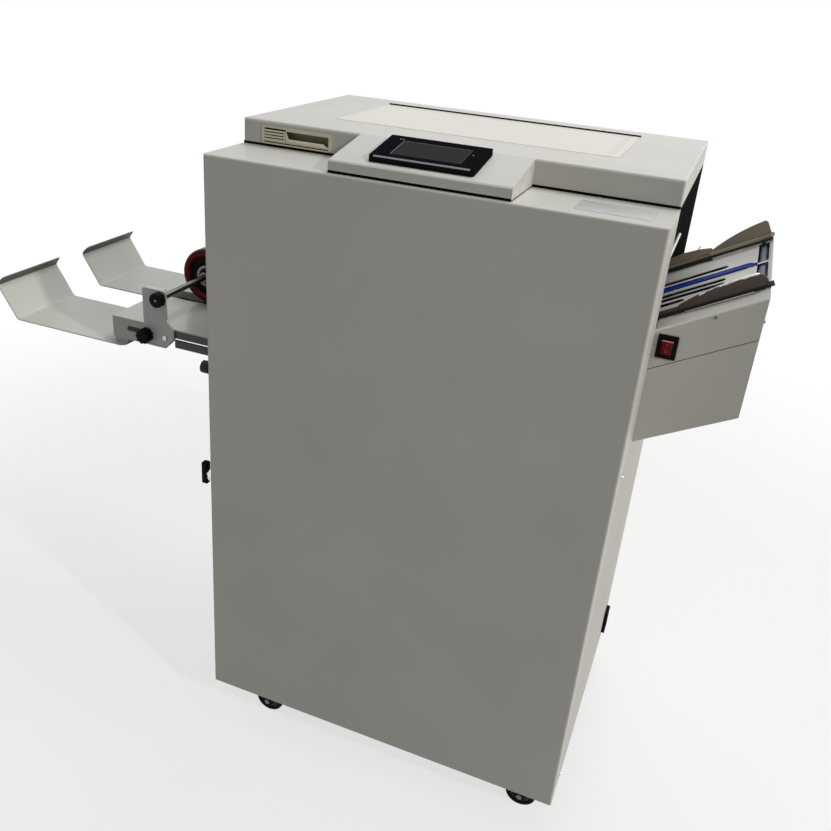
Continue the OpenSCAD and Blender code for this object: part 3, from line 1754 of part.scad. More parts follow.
module latch_button() {
  z0 = latch_z0 + latch_wall + button_gap;
  z1 = latch_z1 - latch_wall - button_gap;
  x1 = button_x0 + button_w - button_gap;
  pitch = (z1 - z0) / (ribs - 1 + rib_share);
  rib_y = latch_face + rib_sink;
  color([0.78, 0.75, 0.64]) {
    span([button_x0, rib_y + rib_h, z0], [x1, hood_y + recess_d - button_travel - button_spare, z1]);
    for (k = [0:ribs - 1])
      span([button_x0, rib_y, z0 + k * pitch],
        [x1, rib_y + rib_h + over, z0 + (k + rib_share) * pitch]);
  }
}

base_plate();
front_panel();
left_side_panel();
right_side_panel();
rear_panel();
front_inner_plate();
rear_inner_plate();
tie_bars();
panel_screws();
caster_plates();
hinge_fixed_leaves();
infeed_guide_plate();
feed_upper_cover();
feed_lower_cover();
feed_deck();
feed_belt();
rocker_frame();
mains_inlet();
inner_deck();
stitch_heads();
drive_motor();
delivery_table();
delivery_rails();
delivery_belts();
front_tray();
rear_tray();
hood();
inset_plate();
latch_frame();
screen_bezel();
screen_glass();
latch_button();
rocker();
near_guide();
far_guide();
guide_pinion();
feed_end_pulley();
feed_drive_shaft();
fold_knife();
fold_roller_lower();
fold_roller_upper();
wire_spools();
delivery_end_roller();
delivery_drive_roller();
press_brackets();
press_rod();
press_wheel_front();
press_wheel_rear();
clamp_knob();
side_knob();
side_latch();
caster_fork(0);  // caster_fork_front_left
caster_fork(1);  // caster_fork_front_right
caster_fork(2);  // caster_fork_rear_left
caster_fork(3);  // caster_fork_rear_right
caster_wheel(0);  // caster_wheel_front_left
caster_wheel(1);  // caster_wheel_front_right
caster_wheel(2);  // caster_wheel_rear_left
caster_wheel(3);  // caster_wheel_rear_right
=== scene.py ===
import json
import logging
import math
from dataclasses import dataclass
from enum import Enum
from typing import Any, Mapping, Sequence, Union

import bmesh
import bpy
from mathutils import Matrix, Vector


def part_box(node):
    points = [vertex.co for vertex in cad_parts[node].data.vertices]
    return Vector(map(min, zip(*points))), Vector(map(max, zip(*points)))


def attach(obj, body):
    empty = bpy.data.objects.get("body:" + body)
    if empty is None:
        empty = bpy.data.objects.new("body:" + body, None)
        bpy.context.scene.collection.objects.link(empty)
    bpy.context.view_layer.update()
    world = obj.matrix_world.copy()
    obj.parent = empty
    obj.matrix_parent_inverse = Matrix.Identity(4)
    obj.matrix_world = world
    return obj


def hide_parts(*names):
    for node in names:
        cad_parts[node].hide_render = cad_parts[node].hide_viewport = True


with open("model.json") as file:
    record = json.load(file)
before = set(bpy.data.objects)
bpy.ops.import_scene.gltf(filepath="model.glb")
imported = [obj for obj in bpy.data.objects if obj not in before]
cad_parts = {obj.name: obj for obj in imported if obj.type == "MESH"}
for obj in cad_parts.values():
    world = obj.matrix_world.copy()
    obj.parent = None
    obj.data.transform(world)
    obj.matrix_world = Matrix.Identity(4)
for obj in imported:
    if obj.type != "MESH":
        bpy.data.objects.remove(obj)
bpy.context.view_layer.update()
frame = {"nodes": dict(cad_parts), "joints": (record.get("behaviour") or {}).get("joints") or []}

LOG = logging.getLogger("booklet_maker")
# Angle that shades as an edge, distance of doubled points, room between faces, softness of a painted border
SHARP = math.radians(32)
MERGE = 1e-6
LIFT = 0.00004
EDGE = 0.0002

Colour = tuple[float, float, float]
Point = tuple[float, float, float]
Box = tuple[Point, Point]
Profile = Sequence[tuple[float, float]]
Shape = bmesh.types.BMesh
Net = tuple[list[bmesh.types.BMVert], list[bmesh.types.BMEdge]]


class Axis(Enum):
    """Row axis that a turned piece is set along."""

    X = "X"
    Y = "Y"
    Z = "Z"

    def at(self, point: Sequence[float]) -> Matrix:
        """The place of a piece that is turned about this axis, X or Y."""
        turn = Matrix.Rotation(math.pi / 2, 4, "Y") if self is Axis.X else Matrix.Rotation(-math.pi / 2, 4, "X")
        return Matrix.Translation(point) @ turn


class Lay(Enum):
    """Way that the lines of a brushed or turned metal run, as the stretch of its noise."""

    ALONG_X = (0.03, 1.0, 1.0)
    ALONG_Y = (1.0, 0.03, 1.0)
    ALONG_Z = (1.0, 1.0, 0.03)
    ROUND_Y = (0.06, 1.0, 0.06)
    ROUND_X = (1.0, 0.06, 0.06)


class Value:
    """A shader socket that takes part in Python sums."""

    def __init__(self, nodes: "Nodes", socket: bpy.types.NodeSocket) -> None:
        """Keep the socket and the nodes that it belongs to."""
        self.nodes = nodes
        self.socket = socket

    def out(self, name: str) -> "Value":
        """Another output of the same node."""
        return Value(self.nodes, self.socket.node.outputs[name])

    def _sum(self, operation: str, first: "Number", second: "Number") -> "Value":
        """A Math node on two numbers."""
        return self.nodes.node("ShaderNodeMath", {"operation": operation}, {0: first, 1: second})

    def __add__(self, other: "Number") -> "Value":
        """Sum."""
        return self._sum("ADD", self, other)

    def __sub__(self, other: "Number") -> "Value":
        """Difference."""
        return self._sum("SUBTRACT", self, other)

    def __rsub__(self, other: "Number") -> "Value":
        """Difference with the number first."""
        return self._sum("SUBTRACT", other, self)

    def __mul__(self, other: "Number") -> "Value":
        """Product."""
        return self._sum("MULTIPLY", self, other)

    def __pow__(self, other: "Number") -> "Value":
        """Power."""
        return self._sum("POWER", self, other)

    def __abs__(self) -> "Value":
        """Size without its sign."""
        return self._sum("ABSOLUTE", self, 0.0)

    def most(self, other: "Number") -> "Value":
        """The larger of two numbers."""
        return self._sum("MAXIMUM", self, other)

    __radd__ = __add__
    __rmul__ = __mul__


Number = Union[float, Value]
Tint = Union[Colour, Value]


class Nodes:
    """A node tree, with the few nodes that the finishes and the studio use."""

    def __init__(self, tree: bpy.types.NodeTree) -> None:
        """Keep the tree that the nodes go into."""
        self.tree = tree

    def node(self, kind: str, settings: Mapping[str, Any] | None = None,
             sockets: Mapping[Any, Any] | None = None, out: int | str = 0) -> Value:
        """Add one node.

        Args:
            kind: type of the node.
            settings: its settings, set before its sockets.
            sockets: numbers or links of its inputs, by name or number.
            out: output that is handed back.

        Returns:
            The node's output.
        """
        made = self.tree.nodes.new(kind)
        for key, setting in (settings or {}).items():
            setattr(made, key, setting)
        for key, value in (sockets or {}).items():
            self.feed(made.inputs[key], value)
        return Value(self, made.outputs[out])

    def feed(self, socket: bpy.types.NodeSocket, value: Any) -> None:
        """Link a value to a socket, or set it there.

        Args:
            socket: input that takes the value.
            value: a Value, a number, a vector or a colour.
        """
        if isinstance(value, Value):
            self.tree.links.new(value.socket, socket)
        elif socket.type == "RGBA" and len(value) == 3:
            socket.default_value = (*value, 1.0)
        else:
            socket.default_value = value

    def place(self, stretch: Sequence[float] = (1, 1, 1), turn: Sequence[float] = (0, 0, 0),
              centre: Sequence[float] = (0, 0, 0)) -> Value:
        """Object coordinates, moved to a centre, then turned and stretched.

        Args:
            stretch: scale along each axis.
            turn: angles about X, Y and Z.
            centre: point that becomes the origin.

        Returns:
            The coordinates.
        """
        at = self.node("ShaderNodeTexCoord", out="Object")
        moved = self.node("ShaderNodeVectorMath", {"operation": "SUBTRACT"}, {0: at, 1: centre})
        return self.node("ShaderNodeMapping", {}, {"Vector": moved, "Rotation": turn, "Scale": stretch})

    def parts(self, at: Value) -> tuple[Value, Value, Value]:
        """The three numbers of a vector."""
        split = self.node("ShaderNodeSeparateXYZ", {}, {0: at})
        return split.out("X"), split.out("Y"), split.out("Z")

    def noise(self, scale: float, detail: float = 2.0, at: Value | None = None) -> Value:
        """Noise of a scale in features per metre."""
        return self.node("ShaderNodeTexNoise", {},
                         {"Vector": at or self.place(), "Scale": scale, "Detail": detail})

    def cells(self, scale: float) -> Value:
        """Rounded cells, for moulded grain."""
        return self.node("ShaderNodeTexVoronoi", {"feature": "SMOOTH_F1"},
                         {"Vector": self.place(), "Scale": scale})

    def waves(self, at: Value, axis: Axis, pitch: float) -> Value:
        """Even bands square to an axis.

        Args:
            at: coordinates.
            axis: axis that the bands cross.
            pitch: distance from band to band.

        Returns:
            A number from 0 to 1.
        """
        return self.node("ShaderNodeTexWave", {"bands_direction": axis.value},
                         {"Vector": at, "Scale": math.pi / (10 * pitch)}, "Fac")

    def step(self, value: Value, low: float, high: float) -> Value:
        """A smooth step from 0 at low to 1 at high."""
        return self.node("ShaderNodeMapRange", {"interpolation_type": "SMOOTHSTEP"},
                         {"Value": value, "From Min": low, "From Max": high})

    def within(self, at: Value, low: Sequence[float], high: Sequence[float]) -> Value:
        """1 inside a box and 0 outside it.

        Args:
            at: coordinates.
            low: lowest corner of the box.
            high: highest corner of the box.

        Returns:
            A number from 0 to 1.
        """
        middle, half = (Vector(low) + Vector(high)) / 2, (Vector(high) - Vector(low)) / 2
        for operation, by in (("SUBTRACT", middle), ("ABSOLUTE", (0, 0, 0)), ("SUBTRACT", half)):
            at = self.node("ShaderNodeVectorMath", {"operation": operation}, {0: at, 1: by})
        x, y, z = self.parts(at)
        return 1 - self.step(x.most(y).most(z), -EDGE, 0.0)

    def blend(self, share: Number, low: Tint, high: Tint) -> Value:
        """A mix of two colours."""
        return self.node("ShaderNodeMix", {"data_type": "RGBA"}, {0: share, 6: low, 7: high}, 2)

    def bump(self, height: Value, distance: float, strength: float) -> Value:
        """A normal raised by a height."""
        return self.node("ShaderNodeBump", {}, {"Height": height, "Distance": distance, "Strength": strength})

    def scuffs(self) -> Value:
        """Sparse fine scratches.

        Returns:
            A number from 0 to 1.
        """
        streak = self.noise(1.0, 1.0, self.place((30, 30, 90), (0.4, 0.7, 0.2)))
        patch = self.step(self.noise(4.0), 0.58, 0.68)
        return self.step(1 - abs(streak - 0.5) * 2, 0.988, 1.0) * patch

    def seen(self) -> Value:
        """1 for a ray from the camera, a reflection or clear glass, and 0 for light on its way."""
        path = self.node("ShaderNodeLightPath", out="Is Camera Ray")
        return path.most(path.out("Is Glossy Ray")).most(path.out("Is Transmission Ray"))


class Shader(Nodes):
    """One material with its Principled shader."""

    def __init__(self, name: str) -> None:
        """Start an empty material.

        Args:
            name: name of the material.
        """
        self.material = bpy.data.materials.new(name)
        self.material.use_nodes = True
        super().__init__(self.material.node_tree)
        self.principled = self.tree.nodes["Principled BSDF"]

    def surface(self, colour: Tint, roughness: Number, normal: Value | None = None,
                **constants: Any) -> None:
        """Feed the Principled shader.

        Args:
            colour: base colour.
            roughness: roughness.
            normal: normal from a bump, if there is one.
            constants: numbers set on other sockets, with _ for a space in the name.
        """
        self.feed(self.principled.inputs["Base Color"], colour)
        self.feed(self.principled.inputs["Roughness"], roughness)
        if normal:
            self.feed(self.principled.inputs["Normal"], normal)
        for key, value in constants.items():
            self.feed(self.principled.inputs[key.replace("_", " ")], value)


def srgb(red: int, green: int, blue: int) -> Colour:
    """Linear colour of a screen colour.

    Args:
        red: red, 0 to 255.
        green: green, 0 to 255.
        blue: blue, 0 to 255.

    Returns:
        The linear colour.
    """
    def channel(level: int) -> float:
        """One channel made linear."""
        share = level / 255
        return share / 12.92 if share <= 0.04045 else ((share + 0.055) / 1.055) ** 2.4

    return channel(red), channel(green), channel(blue)


def shade(colour: Colour, share: float) -> Colour:
    """A colour made darker or lighter by a share."""
    return tuple(min(1.0, part * share) for part in colour)


@dataclass(frozen=True)
class Finish:
    """What every finish has."""

    name: str
    slot: str
    colour: Colour
    roughness: float

    def material(self) -> bpy.types.Material:
        """The finish as a material, made once.

        Returns:
            The material.
        """
        made = bpy.data.materials.get(self.name)
        if made:
            return made
        shader = Shader(self.name)
        self.paint(shader)
        return shader.material

    def paint(self, shader: Shader) -> None:
        """Build the finish's nodes."""
        raise NotImplementedError

    def mottled(self, shader: Shader, pattern: Value, spread: float) -> Value:
        """The finish's colour, darker and lighter by a share over a pattern."""
        return shader.blend(pattern, shade(self.colour, 1 - spread), shade(self.colour, 1 + spread))


@dataclass(frozen=True)
class PowderCoat(Finish):
    """Sprayed and baked paint: a little uneven, with an orange peel and a few fine scratches."""

    mottle: float = 0.035
    peel: float = 0.16
    wear: float = 0.25

    def base(self, shader: Shader) -> Value:
        """Colour of the paint over the surface.

        Args:
            shader: material that is built.

        Returns:
            The colour.
        """
        drift = shader.noise(5.0, 3.0)
        grain = shader.noise(1500.0, 1.0)
        tone = shader.step(drift * 0.7 + grain * 0.3, 0.32, 0.68)
        coat = self.mottled(shader, tone, self.mottle)
        return shader.blend(shader.scuffs() * self.wear, coat, shade(self.colour, 1.3))

    def paint(self, shader: Shader) -> None:
        """Build the paint's nodes.

        Args:
            shader: material that is built.
        """
        grain = shader.noise(1500.0, 1.0)
        peel = shader.noise(420.0, 2.0)
        drift = shader.noise(9.0, 3.0)
        shader.surface(self.base(shader), self.roughness + (drift - 0.5) * 0.16 + (grain - 0.5) * 0.1,
                       shader.bump(peel * 0.7 + grain * 0.3, 0.0003, self.peel))


@dataclass(frozen=True)
class LinedPaint(PowderCoat):
    """Paint on a plate with scored lines across it, each a place along X and half its width."""

    lines: tuple[tuple[float, float], ...] = ()

    def base(self, shader: Shader) -> Value:
        """Colour of the paint with the scored lines.

        Args:
            shader: material that is built.

        Returns:
            The colour.
        """
        coat = super().base(shader)
        x = shader.parts(shader.place())[0]
        for place, half in self.lines:
            mark = 1 - shader.step(abs(x - place), half * 0.6, half)
            coat = shader.blend(mark, coat, shade(self.colour, 0.7))
        return coat


@dataclass(frozen=True)
class PaintedLightCoat(PowderCoat):
    """Paint on a shell with boxes up a slope: some in painted shade, a dark colour; others paler, a painted
    highlight, or darker, painted shade.
    """

    shade_boxes: tuple[Box, ...] = ()
    wear_and_painted_light: tuple[Box, ...] = ()
    painted_light_share: float = 1.45
    centre: Point = (0.0, 0.0, 0.0)
    slope: float = 0.0
    painted_shade: Colour = (0.008, 0.008, 0.008)

    def base(self, shader: Shader) -> Value:
        """Colour of the paint, of the painted shade in its dark boxes and of the boxes made paler or darker as
        painted light.

        Args:
            shader: material that is built.

        Returns:
            The colour.
        """
        at = shader.place(turn=(0, self.slope, 0), centre=self.centre)
        tone = super().base(shader)
        # Boxes of painted shade, near black unless another colour is given.
        for low, high in self.shade_boxes:
            tone = shader.blend(shader.within(at, low, high), tone, self.painted_shade)
        # Boxes of painted light: paler as a painted highlight, darker as painted shade.
        for low, high in self.wear_and_painted_light:
            tone = shader.blend(shader.within(at, low, high), tone, shade(self.colour, self.painted_light_share))
        return tone


@dataclass(frozen=True)
class GuidePaint(PowderCoat):
    """Dark paint on a paper guide: worn bare along the fin's arc, a painted highlight on the ledge, black at the
    foot, steel below the deck.
    """

    sweep: float = 0.321
    crown: float = 0.116
    top: float = 0.02295
    worn: float = 0.0021
    ragged: float = 0.008
    start: float = 0.055
    strip: float = 0.0048
    deck: float = -0.003
    ledge: Point = (1.0, 0.0, 0.0)
    tip: tuple[float, float] = (1.0, 0.0)
    centre: Point = (0.0, 0.0, 0.0)
    slope: float = 0.0
    start_fade: float = 0.004
    ledge_fade: tuple[float, float] = (0.0004, 0.001)
    strip_fade: float = 0.0003
    deck_fade: float = 0.0005
    bright: Colour = srgb(250, 248, 242)
    ledge_highlight: Colour = srgb(196, 186, 162)
    foot_tone: Colour = srgb(14, 13, 12)
    steel: Colour = srgb(108, 120, 136)

    def slope_place(self, shader: Shader) -> tuple[Value, Value, Value]:
        """Distance up the slope, along Y and square to the slope."""
        return shader.parts(shader.place(turn=(0, self.slope, 0), centre=self.centre))

    def bare(self, shader: Shader) -> Value:
        """Share of the paint that is worn off along the fin's arc.

        Args:
            shader: material that is built.

        Returns:
            A number from 0 to 1.
        """
        s, _, h = self.slope_place(shader)
        radius = ((s - self.crown) ** 2.0 + (h - (self.top - self.sweep)) ** 2.0) ** 0.5
        rough = (shader.noise(110.0, 3.0) - 0.5) * self.ragged
        wear_and_painted_light = shader.step(radius + rough, self.sweep - self.worn, self.sweep - self.worn * 0.3)
        return wear_and_painted_light * shader.step(s, self.start, self.start + self.start_fade)

    def base(self, shader: Shader) -> Value:
        """Colour of the paint, the bare edge, the ledge's painted highlight, the black foot and tip, and the
        steel below.

        Args:
            shader: material that is built.

        Returns:
            The colour.
        """
        s, y, h = self.slope_place(shader)
        start, side, lift = self.ledge
        end, height = self.tip
        along, up = self.ledge_fade
        # The ledge is painted paler than the guide: a painted highlight on its upper face.
        pale = (shader.step(s, start, start + along) * shader.step(h, lift, lift + up)
                * (1 - shader.step(y, side - along, side)))
        black = shader.step(s, end, end + EDGE) * (1 - shader.step(h, height - EDGE, height))
        black = black.most(1 - shader.step(h, self.strip - self.strip_fade, self.strip))
        below = 1 - shader.step(h, self.deck - self.deck_fade, self.deck)
        tone = super().base(shader)
        for share, colour in ((self.bare(shader), self.bright), (pale, self.ledge_highlight),
                              (black, self.foot_tone), (below, self.steel)):
            tone = shader.blend(share, tone, colour)
        return tone

    def paint(self, shader: Shader) -> None:
        """Build the paint's nodes, with the rubbed edge as bare metal."""
        super().paint(shader)
        shader.feed(shader.principled.inputs["Metallic"], self.bare(shader))


@dataclass(frozen=True)
class BrushedMetal(Finish):
    """Bare metal with the fine lines of its brushing or turning."""

    lay: Lay = Lay.ALONG_X
    streak: float = 0.12

    def paint(self, shader: Shader) -> None:
        """Build the metal's nodes.

        Args:
            shader: material that is built.
        """
        line = shader.noise(1300.0, 3.0, shader.place(self.lay.value))
        cloud = shader.noise(45.0, 2.0)
        tone = self.mottled(shader, line, self.streak)
        shader.surface(tone, self.roughness + (line - 0.5) * 0.2 + (cloud - 0.5) * 0.14,
                       shader.bump(line, 0.0001, 0.14), Metallic=1.0)


@dataclass(frozen=True)
class Moulded(Finish):
    """Moulded plastic with its fine grain and a trace of dust."""

    grain: float = 900.0
    relief: float = 0.2
    coat: float = 0.0
    dust: float = 0.05
    shine: float = 0.2

    def base(self, shader: Shader) -> Value:
        """Colour of the plastic with its dust.

        Args:
            shader: material that is built.

        Returns:
            The colour.
        """
        cloud = shader.noise(26.0, 4.0)
        body = self.mottled(shader, cloud, 0.07)
        dusty = shader.step(shader.noise(310.0, 4.0), 0.55, 0.9) * self.dust
        return shader.blend(dusty, body, srgb(170, 168, 160))

    def paint(self, shader: Shader) -> None:
        """Build the plastic's nodes.

        Args:
            shader: material that is built.
        """
        cells = shader.cells(self.grain)
        cloud = shader.noise(26.0, 4.0)
        shader.surface(self.base(shader), self.roughness + (cloud - 0.5) * 0.12 + (cells - 0.4) * 0.08,
                       shader.bump(cells, 0.0002, self.relief), Coat_Weight=self.coat, Coat_Roughness=0.08,
                       Specular_IOR_Level=self.shine)


@dataclass(frozen=True)
class TwoTone(Moulded):
    """Moulded plastic that turns another colour past a place along an axis: painted shade in the latch's
    recesses, a painted highlight on the rocker's top.
    """

    axis: Axis = Axis.Y
    places: tuple[float, float] = (0.0, 1.0)
    painted_light_tone: Colour = (0.0, 0.0, 0.0)

    def base(self, shader: Shader) -> Value:
        """Colour of the plastic on both sides of the place."""
        along = shader.parts(shader.place())["XYZ".index(self.axis.value)]
        return shader.blend(shader.step(along, *self.places), super().base(shader), self.painted_light_tone)


@dataclass(frozen=True)
class EdgedPlastic(Moulded):
    """Moulded plastic with a painted highlight along an edge, a box in a tilted frame."""

    centre: Point = (0.0, 0.0, 0.0)
    tilt: float = 0.0
    edge: Box = ((0.0, 0.0, 0.0), (0.0, 0.0, 0.0))
    edge_highlight: Colour = (0.0, 0.0, 0.0)

    def base(self, shader: Shader) -> Value:
        """Colour of the plastic and of the painted highlight on its edge."""
        at = shader.place(turn=(-self.tilt, 0, 0), centre=self.centre)
        return shader.blend(shader.within(at, *self.edge), super().base(shader), self.edge_highlight)


@dataclass(frozen=True)
class Rubber(Finish):
    """Rubber with a matt bloom and worn patches."""

    bloom: float = 0.12
    shine: float = 0.25

    def paint(self, shader: Shader) -> None:
        """Build the rubber's nodes.

        Args:
            shader: material that is built.
        """
        fine = shader.noise(1800.0, 3.0)
        cloud = shader.noise(70.0, 4.0)
        haze = shader.step(cloud, 0.45, 0.8) * self.bloom
        body = self.mottled(shader, fine, 0.15)
        shader.surface(shader.blend(haze, body, srgb(150, 146, 138)),
                       self.roughness + (cloud - 0.5) * 0.2, shader.bump(fine, 0.0002, 0.25),
                       Specular_IOR_Level=self.shine)


@dataclass(frozen=True)
class WovenBelt(Finish):
    """Coated belting with the weave of its fabric showing through, and a paler band along one edge that is a
    painted highlight.
    """

    pitch: float = 0.0016
    slope: float = 0.0
    gloss: float = 0.1
    shine: float = 0.25
    wear_and_painted_light: tuple[float, float] = (-2.0, -1.0)
    pale: Colour = (0.0, 0.0, 0.0)

    def paint(self, shader: Shader) -> None:
        """Build the belt's nodes.

        Args:
            shader: material that is built.
        """
        at = shader.place(turn=(0, self.slope, 0))
        # Below a place along Y the belt takes the paler colour: a painted highlight.
        side = shader.step(shader.parts(at)[1], *self.wear_and_painted_light)
        weave = shader.waves(at, Axis.X, self.pitch) * 0.5 + shader.waves(at, Axis.Y, self.pitch) * 0.5
        cloud = shader.noise(60.0, 3.0)
        body = self.mottled(shader, weave * 0.7 + cloud * 0.3, 0.22)
        shader.surface(shader.blend(side, self.pale, body), self.roughness + (cloud - 0.5) * 0.16,
                       shader.bump(weave, 0.0002, 0.25), Coat_Weight=self.gloss, Coat_Roughness=0.12,
                       Specular_IOR_Level=self.shine)


@dataclass(frozen=True)
class WoundWire(Finish):
    """Stitching wire wound side by side on a spool."""

    pitch: float = 0.0012

    def paint(self, shader: Shader) -> None:
        """Build the wire's nodes.

        Args:
            shader: material that is built.
        """
        turns = shader.waves(shader.place(), Axis.Y, self.pitch)
        cloud = shader.noise(80.0, 2.0)
        tone = shader.blend(turns, shade(self.colour, 0.45), self.colour)
        shader.surface(tone, self.roughness + (cloud - 0.5) * 0.1, shader.bump(turns, 0.0006, 0.6), Metallic=1.0)


@dataclass(frozen=True)
class DisplayGlass(Finish):
    """A display that is switched off, with a thin paler frame near its edge and faint finger marks."""

    centre: Point = (0.0, 0.0, 0.0)
    tilt: float = 0.0
    half: tuple[float, float] = (0.047, 0.026)
    line_in: float = 0.0007
    line_w: float = 0.0007

    def paint(self, shader: Shader) -> None:
        """Build the display's nodes.

        Args:
            shader: material that is built.
        """
        x, y, _ = shader.parts(shader.place(turn=(-self.tilt, 0, 0), centre=self.centre))
        edge = (abs(x) - self.half[0]).most(abs(y) - self.half[1])
        line = 1 - shader.step(abs(edge + self.line_in), self.line_w * 0.4, self.line_w)
        cloud = shader.noise(55.0, 4.0)
        face = self.mottled(shader, cloud, 0.08)
        marks = shader.step(shader.noise(90.0, 3.0), 0.5, 0.75)
        shader.surface(shader.blend(line * 0.8, face, srgb(150, 151, 152)),
                       self.roughness + marks * 0.14, Specular_IOR_Level=0.0)


def settle(bm: Shape) -> Shape:
    """Merge doubled points and turn the faces outwards.

    Args:
        bm: shape.

    Returns:
        The same shape.
    """
    bmesh.ops.remove_doubles(bm, verts=bm.verts, dist=MERGE)
    bmesh.ops.recalc_face_normals(bm, faces=bm.faces)
    return bm


def verts_of(geom: Sequence[Any]) -> list[bmesh.types.BMVert]:
    """The points in what an operator hands back."""
    return [part for part in geom if isinstance(part, bmesh.types.BMVert)]


def edges_of(geom: Sequence[Any]) -> list[bmesh.types.BMEdge]:
    """The edges in what an operator hands back."""
    return [part for part in geom if isinstance(part, bmesh.types.BMEdge)]


def chain(bm: Shape, places: Sequence[Sequence[float]], closed: bool = False) -> Net:
    """Add points with edges from one to the next.

    Args:
        bm: shape.
        places: places of the points.
        closed: whether an edge joins the last point to the first.

    Returns:
        The points and the edges.
    """
    verts = [bm.verts.new(place) for place in places]
    ring = verts + verts[:1] if closed else verts
    return verts, [bm.edges.new(pair) for pair in zip(ring, ring[1:])]


def pull(bm: Shape, edges: Sequence[bmesh.types.BMEdge], vec: Sequence[float]) -> Net:
    """Extrude edges along a vector.

    Args:
        bm: shape.
        edges: edges that are extruded.
        vec: direction and distance.

    Returns:
        The new points and the edges between them.
    """
    grown = bmesh.ops.extrude_edge_only(bm, edges=edges)["geom"]
    verts = verts_of(grown)
    bmesh.ops.translate(bm, vec=vec, verts=verts)
    return verts, [edge for edge in edges_of(grown) if all(vert in verts for vert in edge.verts)]


def round_edges(bm: Shape, edges: Sequence[bmesh.types.BMEdge], size: float, segments: int) -> None:
    """Bevel edges into a rounding of a width."""
    bmesh.ops.bevel(bm, geom=edges, offset=size, offset_type="OFFSET", segments=segments, profile=0.5,
                    affect="EDGES", clamp_overlap=True, material=-1)


def round_corners(bm: Shape, verts: Sequence[bmesh.types.BMVert], size: float, segments: int) -> None:
    """Bevel the points of a sheet into round corners."""
    bmesh.ops.bevel(bm, geom=verts, offset=size, offset_type="OFFSET", segments=segments, profile=0.5,
                    affect="VERTICES", material=-1)


def soften(bm: Shape, size: float, segments: int = 2, above: float = 0.5) -> Shape:
    """Round the sharp edges of a shape.

    Args:
        bm: shape.
        size: width of the rounding.
        segments: faces across the rounding.
        above: least angle of an edge that is rounded.

    Returns:
        The same shape.
    """
    edges = [e for e in bm.edges if len(e.link_faces) == 2 and e.calc_face_angle() > above]
    round_edges(bm, edges, size, segments)
    return bm


def lathe(profile: Profile, steps: int, closed: bool = False) -> Shape:
    """Turn a profile round Z.

    Args:
        profile: radius and height of each point.
        steps: faces round the axis.
        closed: whether the profile is a ring of its own.

    Returns:
        The turned shape.
    """
    bm = bmesh.new()
    verts, edges = chain(bm, [(radius, 0.0, height) for radius, height in profile], closed)
    bmesh.ops.spin(bm, geom=verts + edges, cent=(0, 0, 0), axis=(0, 0, 1), angle=2 * math.pi,
                   steps=steps, use_merge=True)
    return settle(bm)


def rod(radius: float, length: float, steps: int, soft: float) -> Shape:
    """A rod about Z, from 0 up, with rounded ends."""
    return soften(lathe(((0.0, 0.0), (radius, 0.0), (radius, length), (0.0, length)), steps), soft)


def collar(inner: float, outer: float, low: float, high: float, steps: int) -> Shape:
    """A ring about Z between two radii and two heights."""
    return lathe(((inner, low), (outer, low), (outer, high), (inner, high)), steps, True)


def dome(radius: float, crown: float, heights: Sequence[float], steps: int) -> Shape:
    """A low cap about Z: radii of its rim and crown, heights of its rim, crown and middle."""
    rim, brow, top = heights
    return lathe(((radius, 0.0), (radius, rim), (crown, brow), (0.0, top)), steps)


def raise_faces(bm: Shape, faces: Sequence[bmesh.types.BMFace], height: float) -> None:
    """Extrude faces along Z."""
    grown = bmesh.ops.extrude_face_region(bm, geom=list(faces))["geom"]
    bmesh.ops.translate(bm, vec=(0, 0, height), verts=verts_of(grown))


def slab(outline: Profile, thickness: float) -> Shape:
    """Raise an outline along Z.

    Args:
        outline: points in the XY plane.
        thickness: size along Z, from 0 up.

    Returns:
        The slab.
    """
    bm = bmesh.new()
    face = bm.faces.new([bm.verts.new((x, y, 0.0)) for x, y in outline])
    raise_faces(bm, [face], thickness)
    return settle(bm)


def plate(width: float, depth: float, thickness: float, corner: float, segments: int = 6) -> Shape:
    """A plate about Z with round corners.

    Args:
        width: size along X.
        depth: size along Y.
        thickness: size along Z, from 0 up.
        corner: radius of the corners.
        segments: faces round a corner.

    Returns:
        The plate.
    """
    bm = bmesh.new()
    bmesh.ops.create_grid(bm, x_segments=1, y_segments=1, size=0.5)
    bmesh.ops.scale(bm, vec=(width, depth, 1), verts=bm.verts)
    round_corners(bm, bm.verts[:], corner, segments)
    raise_faces(bm, bm.faces[:], thickness)
    return settle(bm)


def block(size: Sequence[float], soft: float, segments: int = 2) -> Shape:
    """A block about the origin with rounded edges.

    Args:
        size: size along each axis.
        soft: width of the rounding.
        segments: faces across the rounding.

    Returns:
        The block.
    """
    bm = bmesh.new()
    bmesh.ops.create_cube(bm, size=1.0)
    bmesh.ops.scale(bm, vec=size, verts=bm.verts)
    return soften(bm, soft, segments)


def fluted(radius: float, height: float, flutes: int, depth: float, soft: float) -> Shape:
    """A knob about Z with finger grooves in its rim.

    Args:
        radius: radius of the rim.
        height: height from 0 up.
        flutes: number of grooves.
        depth: depth of a groove.
        soft: rounding of the knob's edges.

    Returns:
        The knob.
    """
    steps = 8
    bm = bmesh.new()
    bmesh.ops.create_circle(bm, cap_ends=True, segments=flutes * steps, radius=radius)
    for vert in bm.verts:
        groove = (0.5 + 0.5 * math.cos(flutes * math.atan2(vert.co.y, vert.co.x))) ** 3
        vert.co *= 1 - groove * depth / radius
    raise_faces(bm, bm.faces[:], height)
    settle(bm)
    rims = [e for e in bm.edges if len(e.link_faces) == 2 and any(len(f.verts) > 4 for f in e.link_faces)]
    round_edges(bm, rims, soft, 3)
    return bm


def moved(bm: Shape, matrix: Matrix) -> Shape:
    """A shape put in its place."""
    bmesh.ops.transform(bm, matrix=matrix, verts=bm.verts)
    return bm


